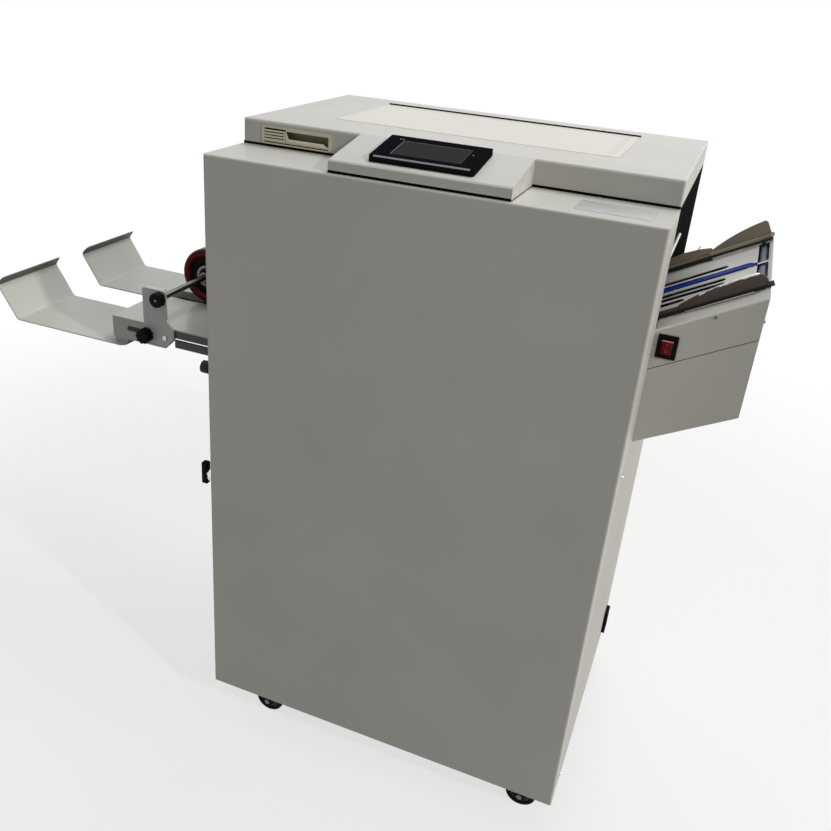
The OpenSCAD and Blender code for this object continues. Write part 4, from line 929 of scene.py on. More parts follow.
def gather(parts: Sequence[tuple[Shape, Sequence[Matrix]]]) -> Shape:
    """One shape that holds copies of parts, which are used up.

    Args:
        parts: shapes, each with the places of its copies.

    Returns:
        The shape.
    """
    bm = bmesh.new()
    for part, places in parts:
        for matrix in places:
            mesh = bpy.data.meshes.new("copy")
            part.to_mesh(mesh)
            mesh.transform(matrix)
            bm.from_mesh(mesh)
            bpy.data.meshes.remove(mesh)
        part.free()
    return bm


def repeat(part: Shape, places: Sequence[Matrix]) -> Shape:
    """One shape that holds a copy of a part at each place."""
    return gather([(part, places)])


def bars(boxes: Sequence[Box], soft: float, segments: int = 2) -> Shape:
    """One shape of blocks with rounded edges.

    Args:
        boxes: lowest and highest corner of each block.
        soft: width of the rounding.
        segments: faces across the rounding.

    Returns:
        The shape.
    """
    corners = [(Vector(low), Vector(high)) for low, high in boxes]
    return gather([(block(high - low, soft, segments), [Matrix.Translation((low + high) / 2)])
                   for low, high in corners])


def band(start: Vector, end: Vector, radius: float, thickness: float, width: float) -> Shape:
    """An endless belt round two pulleys, in the plane of X and Z.

    Args:
        start: centre of the pulley at the lower X.
        end: centre of the pulley at the higher X.
        radius: inner radius of the belt on the pulleys.
        thickness: thickness of the belt.
        width: width of the belt along Y.

    Returns:
        The belt.
    """
    half, chamfer, outer = width / 2, thickness * 0.3, radius + thickness
    section = ((-half, radius), (half, radius), (half, outer - chamfer), (half - chamfer, outer),
               (chamfer - half, outer), (-half, outer - chamfer))
    bm = bmesh.new()
    verts, edges = chain(bm, [end + Vector((0, y, h)) for y, h in section], True)
    for centre, run in ((end, start - end), (start, end - start)):
        last = bmesh.ops.spin(bm, geom=verts + edges, cent=centre, axis=(0, 1, 0), angle=math.pi,
                              steps=24)["geom_last"]
        verts, edges = pull(bm, edges_of(last), run)
    return settle(bm)


def screw(radius: float, height: float) -> Shape:
    """A domed screw head about Z with a cross recess.

    Args:
        radius: radius of the head.
        height: height of the head.

    Returns:
        The head.
    """
    bm = lathe(((radius * 0.97, 0.0), (radius, height * 0.2), (radius * 0.9, height * 0.66),
                (radius * 0.74, height)), 32)
    arm, half, deep = radius * 0.55, radius * 0.13, height * 0.6
    corners = ((arm, -half), (arm, half), (half, half), (half, arm), (-half, arm), (-half, half),
               (-arm, half), (-arm, -half), (-half, -half), (-half, -arm), (half, -arm), (half, -half))
    _, cross = chain(bm, [(x, y, height) for x, y in corners], True)
    rim = [e for e in bm.edges if e.is_boundary and all(v.co.z > height * 0.9 for v in e.verts)]
    bmesh.ops.triangle_fill(bm, use_beauty=True, edges=rim + cross)
    _, floor = pull(bm, cross, (0, 0, -deep))
    bmesh.ops.edgenet_fill(bm, edges=floor)
    bottom = [e for e in bm.edges if e.is_boundary and all(abs(v.co.z) < MERGE for v in e.verts)]
    bmesh.ops.edgenet_fill(bm, edges=bottom)
    return settle(bm)


def facing(point: Sequence[float], normal: Sequence[float]) -> Matrix:
    """The place of a shape that stands on a point of a surface, with its Z along a normal."""
    turn = Vector(normal).to_track_quat("Z", "Y").to_matrix().to_4x4()
    return Matrix.Translation(Vector(point)) @ turn


def outward(x: float, z: float, near: float, far: float) -> list[Matrix]:
    """Places at the two ends of a line along Y, which face away from each other."""
    return [facing((x, near, z), (0, -1, 0)), facing((x, far, z), (0, 1, 0))]


def upright(at: Sequence[float]) -> Matrix:
    """The place of a slab stood up at a point: its outline in the plane of X and Z, its thickness along Y."""
    return Matrix.Translation(at) @ Matrix(((1, 0, 0, 0), (0, 0, 1, 0), (0, 1, 0, 0), (0, 0, 0, 1)))


def middle(node: str) -> Vector:
    """Middle of a solid's box."""
    low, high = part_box(node)
    return (low + high) / 2


def piece(bm: Shape, name: str, body: str, finish: Finish, *nodes: str) -> None:
    """Make a finished shape an object that rides on a body.

    Args:
        bm: shape, in the row frame.
        name: name of the piece.
        body: body that it moves with.
        finish: its finish.
        nodes: solids that it stands for.
    """
    mesh = bpy.data.meshes.new(name)
    bm.to_mesh(mesh)
    bm.free()
    mesh.materials.append(finish.material())
    for polygon in mesh.polygons:
        polygon.use_smooth = True
    mesh.set_sharp_from_angle(angle=SHARP)
    made = bpy.data.objects.new(name, mesh)
    bpy.context.scene.collection.objects.link(made)
    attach(made, body)
    if nodes:
        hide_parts(*nodes)
    LOG.info("%s rides on %s", name, body)


def dress(finish: Finish, *nodes: str) -> None:
    """Give solids a finish.

    Args:
        finish: finish that they take.
        nodes: names of the solids.
    """
    for name in nodes:
        for slot in frame["nodes"][name].material_slots:
            slot.material = finish.material()
        LOG.info("%s is dressed in %s", name, finish.name)


@dataclass(frozen=True)
class Slope:
    """The feed table's slope: s up the table from the cabinet's side, h square to it."""

    angle: float = math.radians(29)

    def foot(self) -> Vector:
        """Point where the slope leaves the cabinet's side."""
        low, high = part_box("feed_upper_cover")
        return Vector((low.x, 0.0, high.z - (high.x - low.x) * math.tan(self.angle)))

    def matrix(self) -> Matrix:
        """The slope's frame."""
        return Matrix.Translation(self.foot()) @ Matrix.Rotation(-self.angle, 4, "Y")

    def normal(self) -> Vector:
        """Direction square to the slope."""
        return Vector((-math.sin(self.angle), 0.0, math.cos(self.angle)))


@dataclass(frozen=True)
class Console:
    """The console's slope: y up the slope from its front edge, z square to it."""

    front: float = 0.006
    rise: float = 0.016
    run: float = 0.098
    climb: float = 0.019

    def tilt(self) -> float:
        """Angle of the console's slope."""
        return math.atan2(self.climb, self.run)

    def matrix(self) -> Matrix:
        """Place the console's frame.

        Returns:
            The frame, with its origin at the foot of the slope.
        """
        low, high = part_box("front_panel")
        foot = Vector((0.0, low.y + self.front, high.z + self.rise))
        return Matrix.Translation(foot) @ Matrix.Rotation(self.tilt(), 4, "X")


SLOPE = Slope()
CONSOLE = Console()
ON_SLOPE = {"centre": tuple(SLOPE.foot()), "slope": SLOPE.angle}

# Boxes of painted shade and of painted highlight, in the row frame, on the feed table's slope or on the console's
# Inner faces of the rear panel, hood and feed cover, the hood's slot and the deck's underside and slot walls:
# painted shade, near black.
REAR_INSIDE = ((-1, -1, -1), (1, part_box("rear_panel")[1].y - 0.0004, 2))
HOOD_INSIDE = ((-0.2982, -0.1167, 0.9), (0.2982, 0.2207, 1.0063))
STRIP_SLOT = ((-0.2, 0.167, 0.99), (0.207, 0.1718, 1.0079))
# The hood's front faces beside the console, painted darker: painted shade.
HOOD_FACES = tuple(((left, -0.12, 0.9), (right, -0.1176, 1.0045))
                   for left, right in ((-0.31, -0.1212), (0.1172, 0.31)))
COVER_INSIDE = ((-0.2, -0.1167, -0.06), (0.108, 0.2157, -0.0019))
# The feed cover's front top edge, painted paler: a painted highlight.
COVER_EDGE = ((-0.05, -0.12, -0.0023), (0.2, -0.1171, 0.001))
DECK_INSIDE = ((-0.3, -0.3, -0.1), (0.3, 0.3, -0.00207))
# Bands beside three deck slots: painted shade.
SLOT_SIDES = tuple(((-0.03, y, -0.01), (0.076, y + 0.0022, 0.01)) for y in (0.119, 0.051, 0.03))
# The infeed plate's face behind its lip: painted shade.
MOUTH_BACK = ((0.1, -0.2, 0.8), (0.2935, 0.1, 0.95))
# The bezel's front top edge: a painted highlight.
BEZEL_EDGE = ((-0.067, 0.0158, 0.005), (0.059, 0.0179, 0.009))

LIGHT_GREY = srgb(207, 206, 200)
TRAY_GREY = srgb(206, 208, 200)
# Grey of the tray lips, darker than the trays: painted shade.
LIP_SHADE_GREY = srgb(84, 85, 80)
CASE_PAINT = PowderCoat("light grey powder coat", "panel_paint", LIGHT_GREY, 0.46)
# The side panels take the case's paint set darker: painted shade.
SIDE_PAINT = PowderCoat("side panel powder coat", "panel_paint", srgb(198, 196, 188), 0.5)
# The rear panel's inner face is painted shade, near black.
REAR_PAINT = PaintedLightCoat("rear panel powder coat", "panel_paint", srgb(205, 203, 196), 0.5,
                         shade_boxes=(REAR_INSIDE,))
# The hood is near black inside and in its slot, and darker on its front faces: painted shade.
HOOD_PAINT = PaintedLightCoat("hood powder coat", "panel_paint", LIGHT_GREY, 0.46, shade_boxes=(HOOD_INSIDE, STRIP_SLOT),
                         wear_and_painted_light=HOOD_FACES, painted_light_share=0.78)
# The feed cover is near black inside, painted shade, and paler along its front top edge, a painted highlight.
COVER_PAINT = PaintedLightCoat("feed cover powder coat", "panel_paint", LIGHT_GREY, 0.46, shade_boxes=(COVER_INSIDE,),
                          wear_and_painted_light=(COVER_EDGE,), **ON_SLOPE)
TABLE_PAINT = PowderCoat("delivery table paint", "tray_paint", LIGHT_GREY, 0.26, peel=0.06)
# The deck is near black underneath and in its slots, and in bands beside three slots: painted shade.
DECK_PAINT = PaintedLightCoat("deck paint", "deck_paint", srgb(222, 221, 215), 0.4,
                         shade_boxes=(DECK_INSIDE, *SLOT_SIDES), **ON_SLOPE)
# The white plate is near black behind its lip: painted shade.
MOUTH_PAINT = PaintedLightCoat("white plate paint", "inset_white", srgb(250, 249, 245), 0.3, mottle=0.01, peel=0.06,
                          shade_boxes=(MOUTH_BACK,))
INSET_PAINT = LinedPaint("white inset paint", "inset_white", srgb(224, 219, 211), 0.36, mottle=0.02,
                         lines=((0.19, 0.0007), (0.195, 0.0006), (-0.196, 0.0006)))
# Black paint of the base plate, also used as painted shade on the inner plates and tie bars.
CHASSIS_AND_SHADE_BLACK = PowderCoat("black chassis paint and painted shade", "chassis_paint", srgb(22, 22, 23), 0.8, wear=0.3)
BRACKET_PAINT = PowderCoat("bracket paint", "panel_paint", srgb(228, 230, 226), 0.44)
MOTOR_PAINT = PowderCoat("motor enamel", "motor_paint", srgb(74, 82, 88), 0.38)
RAIL_PAINT = PowderCoat("dark rail paint", "dark_rail", srgb(36, 34, 30), 0.42, mottle=0.08)
LABEL_FOIL = PowderCoat("bare label film", "panel_paint", srgb(200, 203, 203), 0.3, mottle=0.02, peel=0.04)
# Both guides take one paint; the far guide's colour is set much lighter than the near one's, painted light that
# brightens its face.
NEAR_PAINT = GuidePaint("near guide paint", "guide_paint", srgb(80, 72, 63), 0.5, 0.1, 0.3, tip=(0.1366, 0.0077),
                        **ON_SLOPE)
FAR_PAINT = GuidePaint("far guide paint", "guide_paint", srgb(146, 137, 120), 0.5, 0.1, 0.3, sweep=0.2788,
                       crown=0.1523, top=0.0304, start=1.0, ledge=(0.0498, 0.1836, 0.004), **ON_SLOPE)
STEEL = BrushedMetal("ground steel", "bare_steel", srgb(196, 196, 192), 0.32, Lay.ALONG_Y)
ROUND_STEEL = BrushedMetal("turned steel", "bare_steel", srgb(202, 202, 199), 0.26, Lay.ROUND_Y)
OILED_STEEL = BrushedMetal("oiled dark steel", "bare_steel", srgb(104, 103, 104), 0.3, Lay.ROUND_Y)
ZINC = BrushedMetal("zinc plated steel", "screw_steel", srgb(198, 198, 196), 0.34, Lay.ALONG_Z)
CHROME = BrushedMetal("chrome plate", "latch_chrome", srgb(222, 223, 224), 0.12, Lay.ROUND_X, 0.04)
ALUMINIUM = BrushedMetal("turned aluminium", "roller_aluminium", srgb(206, 207, 209), 0.34, Lay.ROUND_Y)
BRASS = BrushedMetal("brass", "brass", srgb(196, 160, 92), 0.3, Lay.ROUND_X)
WIRE = WoundWire("stitching wire", "wire_steel", srgb(190, 176, 150), 0.35)
BLACK_PLASTIC = Moulded("black plastic", "black_plastic", srgb(11, 11, 12), 0.44, dust=0.02, shine=0.06)
GREY_PLASTIC = Moulded("dark grey plastic", "grey_plastic", srgb(44, 45, 46), 0.4)
# The latch frame and button turn darker past their front faces: painted shade in the finger recess and gaps.
LATCH_BEIGE = TwoTone("beige latch plastic", "beige_plastic", srgb(212, 205, 182), 0.42, shine=0.3,
                      places=(-0.1187, -0.1165), painted_light_tone=srgb(152, 147, 118))
BUTTON_BEIGE = TwoTone("beige button plastic", "beige_plastic", srgb(224, 219, 200), 0.42, shine=0.3,
                       places=(-0.1189, -0.1182), painted_light_tone=srgb(88, 84, 66))
# The rocker's top band is painted pale: a painted highlight.
ROCKER_RED = TwoTone("red rocker plastic", "red_plastic", srgb(112, 4, 9), 0.22, relief=0.05, coat=0.05,
                     dust=0.01, shine=0.1, axis=Axis.Z, places=(0.8062, 0.8082), painted_light_tone=srgb(250, 168, 146))
MARK_WHITE = Moulded("white marking", "red_plastic", srgb(168, 92, 84), 0.5, relief=0.05)
# The bezel's front top edge is painted pale: a painted highlight.
BEZEL_GLOSS = EdgedPlastic("black bezel plastic", "black_gloss", srgb(24, 24, 28), 0.24, relief=0.04, dust=0.004,
                           shine=0.0, centre=tuple(CONSOLE.matrix().translation), tilt=CONSOLE.tilt(),
                           edge=BEZEL_EDGE, edge_highlight=srgb(168, 168, 174))
LED_GREY = Moulded("indicator lens", "black_gloss", srgb(150, 152, 148), 0.2, relief=0.02)
FORK_BLACK = Moulded("black fork plastic", "fork_black", srgb(11, 11, 12), 0.46, dust=0.02, shine=0.06)
DISC_DARK = Moulded("dark wheel disc", "black_plastic", srgb(10, 8, 9), 0.5, dust=0.0, shine=0.06)
TYRE_RED = Rubber("red press tyre", "wheel_red", srgb(92, 2, 6), 0.2, 0.004, 0.1)
CASTER_RUBBER = Rubber("caster rubber", "caster_rubber", srgb(13, 13, 14), 0.62, 0.04, 0.1)
# Near-black rubber of the bars that stand in for the shade in the lid's gap, its slot and the latch's gaps:
# painted shade.
GAP_SHADE_BLACK = Rubber("black gap shade", "roller_rubber", srgb(9, 9, 9), 0.8, 0.01, 0.03)
ROLLER_RUBBER = Rubber("roller rubber", "roller_rubber", srgb(44, 44, 46), 0.68)
GREEN_BELT = WovenBelt("green belt", "green_belt", srgb(5, 56, 42), 0.4, 0.0018, gloss=0.0, shine=0.03)
# The blue belt's near edge is a paler band: a painted highlight.
BLUE_BELT = WovenBelt("blue belt", "blue_belt", srgb(7, 20, 126), 0.34, 0.0014, SLOPE.angle, 0.0, 0.03,
                      (0.0666, 0.0706), srgb(46, 84, 186))


@dataclass
class Cabinet:
    """The case: panels, base, inner plates, hinges, screws and the bare label on the ledge."""

    screw_r: float = 0.004
    screw_h: float = 0.0018
    screw_in: float = 0.014
    side_rows: tuple[float, ...] = (0.014, 0.56)
    rear_rows: tuple[float, ...] = (0.04, 0.453, 0.836)
    cover_screw: Point = (0.074, -0.0055, 0.0018)
    end_screw: tuple[float, float] = (0.005, 0.0322)
    end_drop: float = 0.021
    end_in: float = 0.04
    leaf_half: float = 0.03
    hinge_screw: Point = (0.02, 0.024, 0.002)
    label_x: tuple[float, float] = (0.187, 0.279)
    label_y: tuple[float, float] = (0.022, 0.075)
    label_t: float = 0.0004
    label_corner: float = 0.006
    label_soft: float = 0.00012

    def build(self) -> None:
        """Dress the case and add its screws and label."""
        dress(CASE_PAINT, "front_panel")
        dress(SIDE_PAINT, "left_side_panel", "right_side_panel")
        dress(REAR_PAINT, "rear_panel")
        # The inner plates and tie bars are painted black as painted shade, which keeps the inside of the case
        # dark.
        dress(CHASSIS_AND_SHADE_BLACK, "base_plate", "front_inner_plate", "rear_inner_plate", "tie_bars")
        dress(ZINC, "caster_plates", "hinge_fixed_leaves")
        self.panel_screws()
        self.cover_screws()
        self.label()

    def panel_screws(self) -> None:
        """Screw heads of the panels, the hinges and the end of the feed table."""
        side_low, side_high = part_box("right_side_panel")
        feed_low, feed_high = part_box("feed_upper_cover")
        leaf_low, leaf_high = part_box("hinge_fixed_leaves")
        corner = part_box("front_panel")[0]
        rear, base = -corner.y, corner.z
        out, drop, leaf = self.hinge_screw
        places = [facing((sign * side_high.x, y, base + z), (sign, 0, 0)) for sign in (-1, 1)
                  for y in (side_low.y + self.screw_in, side_high.y - self.screw_in) for z in self.side_rows]
        places += [facing((sign * (side_high.x - self.screw_in), rear, base + z), (0, 1, 0))
                   for sign in (-1, 1) for z in self.rear_rows]
        places += [facing((feed_high.x, y, feed_high.z - self.end_drop), (1, 0, 0))
                   for y in (feed_low.y + self.end_in, feed_high.y - self.end_in)]
        places += [facing((x, rear + leaf, leaf_high.z - drop), (0, 1, 0))
                   for hinge in (leaf_low.x + self.leaf_half, leaf_high.x - self.leaf_half)
                   for x in (hinge - out, hinge + out)]
        piece(repeat(screw(self.screw_r, self.screw_h), places), "panel_screw_heads", "cabinet", ZINC,
              "panel_screws")

    def cover_screws(self) -> None:
        """The two small dark screw heads in the upper cover of the feed table."""
        low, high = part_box("feed_upper_cover")
        s, h, radius = self.cover_screw
        inward, down = self.end_screw
        places = [facing(SLOPE.matrix() @ Vector((s, low.y, h)), (0, -1, 0)),
                  facing((high.x, low.y + inward, high.z - down), (1, 0, 0))]
        piece(repeat(screw(radius, self.screw_h), places), "cover_screw_heads", "cabinet", OILED_STEEL)

    def label(self) -> None:
        """The bare label on the ledge."""
        low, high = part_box("front_panel")
        (left, right), (near, far) = self.label_x, self.label_y
        film = soften(plate(right - left, far - near, self.label_t, self.label_corner), self.label_soft)
        at = ((left + right) / 2, low.y + (near + far) / 2, high.z + LIFT)
        piece(moved(film, Matrix.Translation(at)), "ledge_label", "cabinet", LABEL_FOIL)


@dataclass
class Hood:
    """The lid with its console and inset plate, black bars of painted shade below its front edges and a black
    strip of painted shade behind the plate.
    """

    console: tuple[float, float] = (-0.121, 0.117)
    front: float = -0.1185
    wall: float = 0.002
    gap_shade_room: float = 0.0003
    gap_shade_h: float = 0.0031
    gap_shade_soft: float = 0.0002
    proud: float = 0.0003
    strip_d: float = 0.0037
    strip_h: float = 0.0036
    strip_soft: float = 0.0004

    def build(self) -> None:
        """Dress the lid and add the black bars of painted shade below its front edges and behind the plate."""
        dress(HOOD_PAINT, "hood")
        dress(INSET_PAINT, "inset_plate")
        self.gap_shade()
        self.strip()

    def gap_shade(self) -> None:
        """Black bars round the lower edges of the lid's front and of the console: painted shade in the gap above
        the ledge.
        """
        low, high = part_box("hood")
        left, right = self.console
        wall, front, back = self.wall, self.front, self.front + self.wall
        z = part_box("front_panel")[1].z + self.gap_shade_room
        runs = ((low.x, left + wall, front, back), (left, left + wall, low.y, back),
                (left, right, low.y, low.y + wall), (right - wall, right, low.y, back),
                (right - wall, high.x, front, back))
        boxes = [((x0 + LIFT, y0 - self.proud, z), (x1 - LIFT, y1 + self.proud, z + self.gap_shade_h))
                 for x0, x1, y0, y1 in runs]
        piece(bars(boxes, self.gap_shade_soft), "lid_gap_shade", "hood", GAP_SHADE_BLACK)

    def strip(self) -> None:
        """The black strip set in the slot behind the inset plate, painted shade in the slot."""
        low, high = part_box("inset_plate")
        y, half = high.y + LIFT, self.strip_h / 2
        box = ((low.x, y, high.z - half), (high.x, y + self.strip_d, high.z + half))
        piece(bars([box], self.strip_soft), "inset_rear_strip", "hood", GAP_SHADE_BLACK)


@dataclass
class TouchScreen:
    """The touch screen on the console: bezel, display and indicator lenses."""

    centre_x: float = -0.004
    up: float = 0.013
    thick: float = 0.00805
    display: tuple[float, float] = (0.094, 0.052)
    display_up: float = 0.041
    lens_r: float = 0.0011
    lens_h: Point = (0.00012, 0.0003, 0.00036)
    lens_at: Profile = ((-0.0515, 0.067), (-0.0482, 0.067), (0.0525, 0.0475))

    def build(self) -> None:
        """Dress the screen and add the lenses."""
        dress(BEZEL_GLOSS, "screen_bezel")
        at = CONSOLE.matrix() @ Vector((self.centre_x, self.up + self.display_up, self.thick))
        glass = DisplayGlass("dark display glass", "display_gloss", srgb(58, 60, 60), 0.16, tuple(at),
                             CONSOLE.tilt(), (self.display[0] / 2, self.display[1] / 2))
        dress(glass, "screen_glass")
        lens = dome(self.lens_r, self.lens_r * 0.7, self.lens_h, 20)
        places = [CONSOLE.matrix() @ Matrix.Translation((self.centre_x + x, self.up + y, self.thick - LIFT))
                  for x, y in self.lens_at]
        piece(repeat(lens, places), "indicator_lenses", "hood", LED_GREY)


@dataclass
class HoodLatch:
    """The flush latch in the lid's front, with the lip of its finger recess and black lines of painted shade in
    its gaps.
    """

    lip: Profile = ((0.0372, 0.0047), (0.1028, 0.0047), (0.1028, 0.006), (0.098, 0.007),
                    (0.0955, 0.0095), (0.0416, 0.0095), (0.0376, 0.0193), (0.0372, 0.0193))
    lip_in: float = 0.0008
    lip_t: float = 0.0022
    lip_soft: float = 0.0003
    gaps: tuple[tuple[float, float, float, float], ...] = ((0.0046, 0.0194, 0.0376, 0.0215),
                                                           (0.0046, 0.0018, 0.1032, 0.0033))
    gap_t: float = 0.0003
    gap_soft: float = 0.0001

    def build(self) -> None:
        """Dress the latch and add the lip and the gaps."""
        dress(LATCH_BEIGE, "latch_frame")
        dress(BUTTON_BEIGE, "latch_button")
        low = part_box("latch_frame")[0]
        edge = soften(slab(self.lip, self.lip_t), self.lip_soft)
        stand = upright(low + Vector((0, self.lip_in, 0)))
        piece(settle(moved(edge, stand)), "latch_lip", "hood", BUTTON_BEIGE)
        # Thin black bars in the gaps round the button and recess: painted shade.
        y = low.y - 2 * LIFT
        boxes = [((low.x + left, y, low.z + foot), (low.x + right, y + self.gap_t, low.z + head))
                 for left, foot, right, head in self.gaps]
        piece(bars(boxes, self.gap_soft, 1), "latch_gap_lines", "hood", GAP_SHADE_BLACK)


@dataclass
class FeedTable:
    """The inclined table: covers, slotted deck, blue belt and the plate across the mouth."""

    belt_y: float = 0.074
    belt_w: float = 0.016
    belt_t: float = 0.002
    belt_r: float = 0.00815
    pulley_h: float = -0.0092
    pulley_s: tuple[float, float] = (-0.1, 0.108)
    thumb_r: float = 0.0045
    thumb_h: float = 0.006
    thumb_flutes: int = 12
    thumb_groove: float = 0.0004
    thumb_soft: float = 0.0006
    thumb_in: tuple[float, float] = (0.006, 0.012)
    bead_r: float = 0.0019
    bead_in: float = 0.0009
    bead_soft: float = 0.0005

    def build(self) -> None:
        """Dress the table and add the belt, the plate's screw and the bead on its lip."""
        dress(COVER_PAINT, "feed_upper_cover")
        dress(CASE_PAINT, "feed_lower_cover")
        dress(DECK_PAINT, "feed_deck")
        dress(MOUTH_PAINT, "infeed_guide_plate")
        dress(ROUND_STEEL, "feed_end_pulley", "feed_drive_shaft")
        self.belt()
        self.plate_screw()
        self.bead()

    def belt(self) -> None:
        """The feed belt with its rounded edges."""
        first, last = (Vector((s, self.belt_y, self.pulley_h)) for s in self.pulley_s)
        loop = band(first, last, self.belt_r, self.belt_t, self.belt_w)
        piece(moved(loop, SLOPE.matrix()), "feed_belt_band", "cabinet", BLUE_BELT, "feed_belt")

    def plate_screw(self) -> None:
        """The black thumb screw at the near end of the plate across the mouth."""
        low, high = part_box("infeed_guide_plate")
        head = fluted(self.thumb_r, self.thumb_h, self.thumb_flutes, self.thumb_groove, self.thumb_soft)
        at = facing((high.x - self.thumb_in[0], low.y + self.thumb_in[1], high.z - LIFT), (0, 0, 1))
        piece(moved(head, at), "plate_thumb_screw", "cabinet", BLACK_PLASTIC)

    def bead(self) -> None:
        """The white bead along the lip of the plate across the mouth."""
        low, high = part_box("infeed_guide_plate")
        bar = rod(self.bead_r, high.y - low.y - 2 * self.bead_in, 24, self.bead_soft)
        at = facing((high.x - self.bead_in, low.y + self.bead_in, high.z - self.bead_in), (0, 1, 0))
        piece(moved(bar, at), "plate_edge_bead", "cabinet", MOUTH_PAINT)


@dataclass
class PaperGuides:
    """The two paper guides with their racks, the pinion between them, and the far guide's rail with its hook."""

    rail: Profile = ((-0.024, 0.0082), (0.0545, 0.0082), (0.0545, 0.0146), (0.0525, 0.0158),
                     (0.0365, 0.0192), (0.0137, 0.0208), (-0.005, 0.0192), (-0.024, 0.017))
    rail_y: tuple[float, float] = (0.1838, 0.1857)
    rail_soft: float = 0.0004
    hook: Profile = ((0.0332, 0.0178), (0.0392, 0.0236))
    hook_r: float = 0.0007

    def build(self) -> None:
        """Dress the guides and the pinion, and add the rail and its hook."""
        dress(NEAR_PAINT, "near_guide")
        dress(FAR_PAINT, "far_guide")
        dress(BRASS, "guide_pinion")
        near, far = self.rail_y
        bar = soften(slab(self.rail, far - near), self.rail_soft)
        stand = SLOPE.matrix() @ upright((0, near, 0))
        piece(settle(moved(bar, stand)), "far_guide_rail", "far_guide", FAR_PAINT)
        start, end = (SLOPE.matrix() @ Vector((s, (near + far) / 2, h)) for s, h in self.hook)
        length, radius = (end - start).length, self.hook_r
        pin = lathe(((0.0, 0.0), (radius, 0.0), (radius, length - radius), (radius * 0.6, length),
                     (0.0, length)), 16)
        piece(moved(pin, facing(start, end - start)), "far_guide_hook", "far_guide", ZINC)


@dataclass
class RockerSwitch:
    """The mains switch: frame, rocker and its generic marks."""

    tilt: float = math.radians(9)
    half: float = 0.0102
    tip: float = 0.0055
    dish: float = 0.0035
    back: tuple[float, float] = (0.004, 0.005)
    taper: float = 0.7
    pins: float = 0.0015
    room: float = 0.0004
    soft: float = 0.0007
    crease: float = 0.35
    mark: float = 0.0017
    mark_t: float = 0.00025
    mark_soft: float = 0.00008

    def build(self) -> None:
        """Dress the frame and make the rocker and its marks."""
        dress(BLACK_PLASTIC, "rocker_frame")
        joint = next(j for j in frame["joints"] if j["name"] == "rocker_tilt")
        pin = Vector((middle("rocker").x, *joint["pos_m"][1:]))
        place = Matrix.Translation(pin) @ Matrix.Rotation(self.tilt, 4, "X")
        self.cap(place)
        self.marks(place)

    def cap(self, place: Matrix) -> None:
        """The rocker with its dished face.

        Args:
            place: the rocker's frame, on its pin.
        """
        low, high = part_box("rocker")
        width = high.x - low.x - 2 * (self.pins + self.room)
        (side, deep), short = self.back, self.half * self.taper
        outline = ((-self.tip, -self.half), (-self.dish, 0.0), (-self.tip, self.half),
                   (side, short), (deep, 0.0), (side, -short))
        # The outline is drawn in XY and stood up, so that its depth runs along Y and its length along Z
        stand = Matrix(((0, 0, 1, -width / 2), (1, 0, 0, 0), (0, 1, 0, 0), (0, 0, 0, 1)))
        body = soften(slab(outline, width), self.soft, 3, self.crease)
        piece(moved(body, place @ stand), "rocker_cap", "rocker", ROCKER_RED, "rocker")

    def marks(self, place: Matrix) -> None:
        """The on and off marks on the two halves of the rocker's face.

        Args:
            place: the rocker's frame, on its pin.
        """
        size, thick = self.mark, self.mark_t
        lean = math.atan2(self.tip - self.dish, self.half)
        face = (self.tip + self.dish) / 2
        upper, lower = (place @ Matrix.Translation((0, -face, side * self.half / 2))
                        @ Matrix.Rotation(side * lean, 4, "X") for side in (1, -1))
        bar = block((size * 0.45, thick, size * 1.7), self.mark_soft, 1)
        ring = collar(size * 0.8, size, 0.0, thick, 32)
        piece(gather([(bar, [upper]), (ring, [lower @ Matrix.Rotation(math.pi / 2, 4, "X")])]),
              "rocker_marks", "rocker", MARK_WHITE)


@dataclass
class MainsInlet:
    """The mains inlet low on the feed side, with its three pins."""

    pin: Point = (0.011, 0.0016, 0.0036)
    soft: float = 0.0004
    floor: float = 0.003
    spread: float = 0.006
    earth: float = 0.003

    def build(self) -> None:
        """Dress the inlet and add the pins."""
        dress(BLACK_PLASTIC, "mains_inlet")
        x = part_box("mains_inlet")[0].x + self.floor + self.pin[0] / 2 - LIFT
        _, y, z = middle("mains_inlet")
        places = [Matrix.Translation((x, y - self.earth / 2, z + side * self.spread)) for side in (-1, 1)]
        places.append(Matrix.Translation((x, y + self.earth, z)))
        piece(repeat(block(self.pin, self.soft), places), "inlet_pins", "cabinet", STEEL)


@dataclass
class InnerWorks:
    """What is under the lid: stitching heads, spools, fold knife, fold rollers and motor."""

    def build(self) -> None:
        """Dress the works."""
        dress(STEEL, "inner_deck", "fold_knife")
        dress(BRASS, "stitch_heads")
        dress(MOTOR_PAINT, "drive_motor")
        dress(ROLLER_RUBBER, "fold_roller_lower", "fold_roller_upper")
        dress(WIRE, "wire_spools")


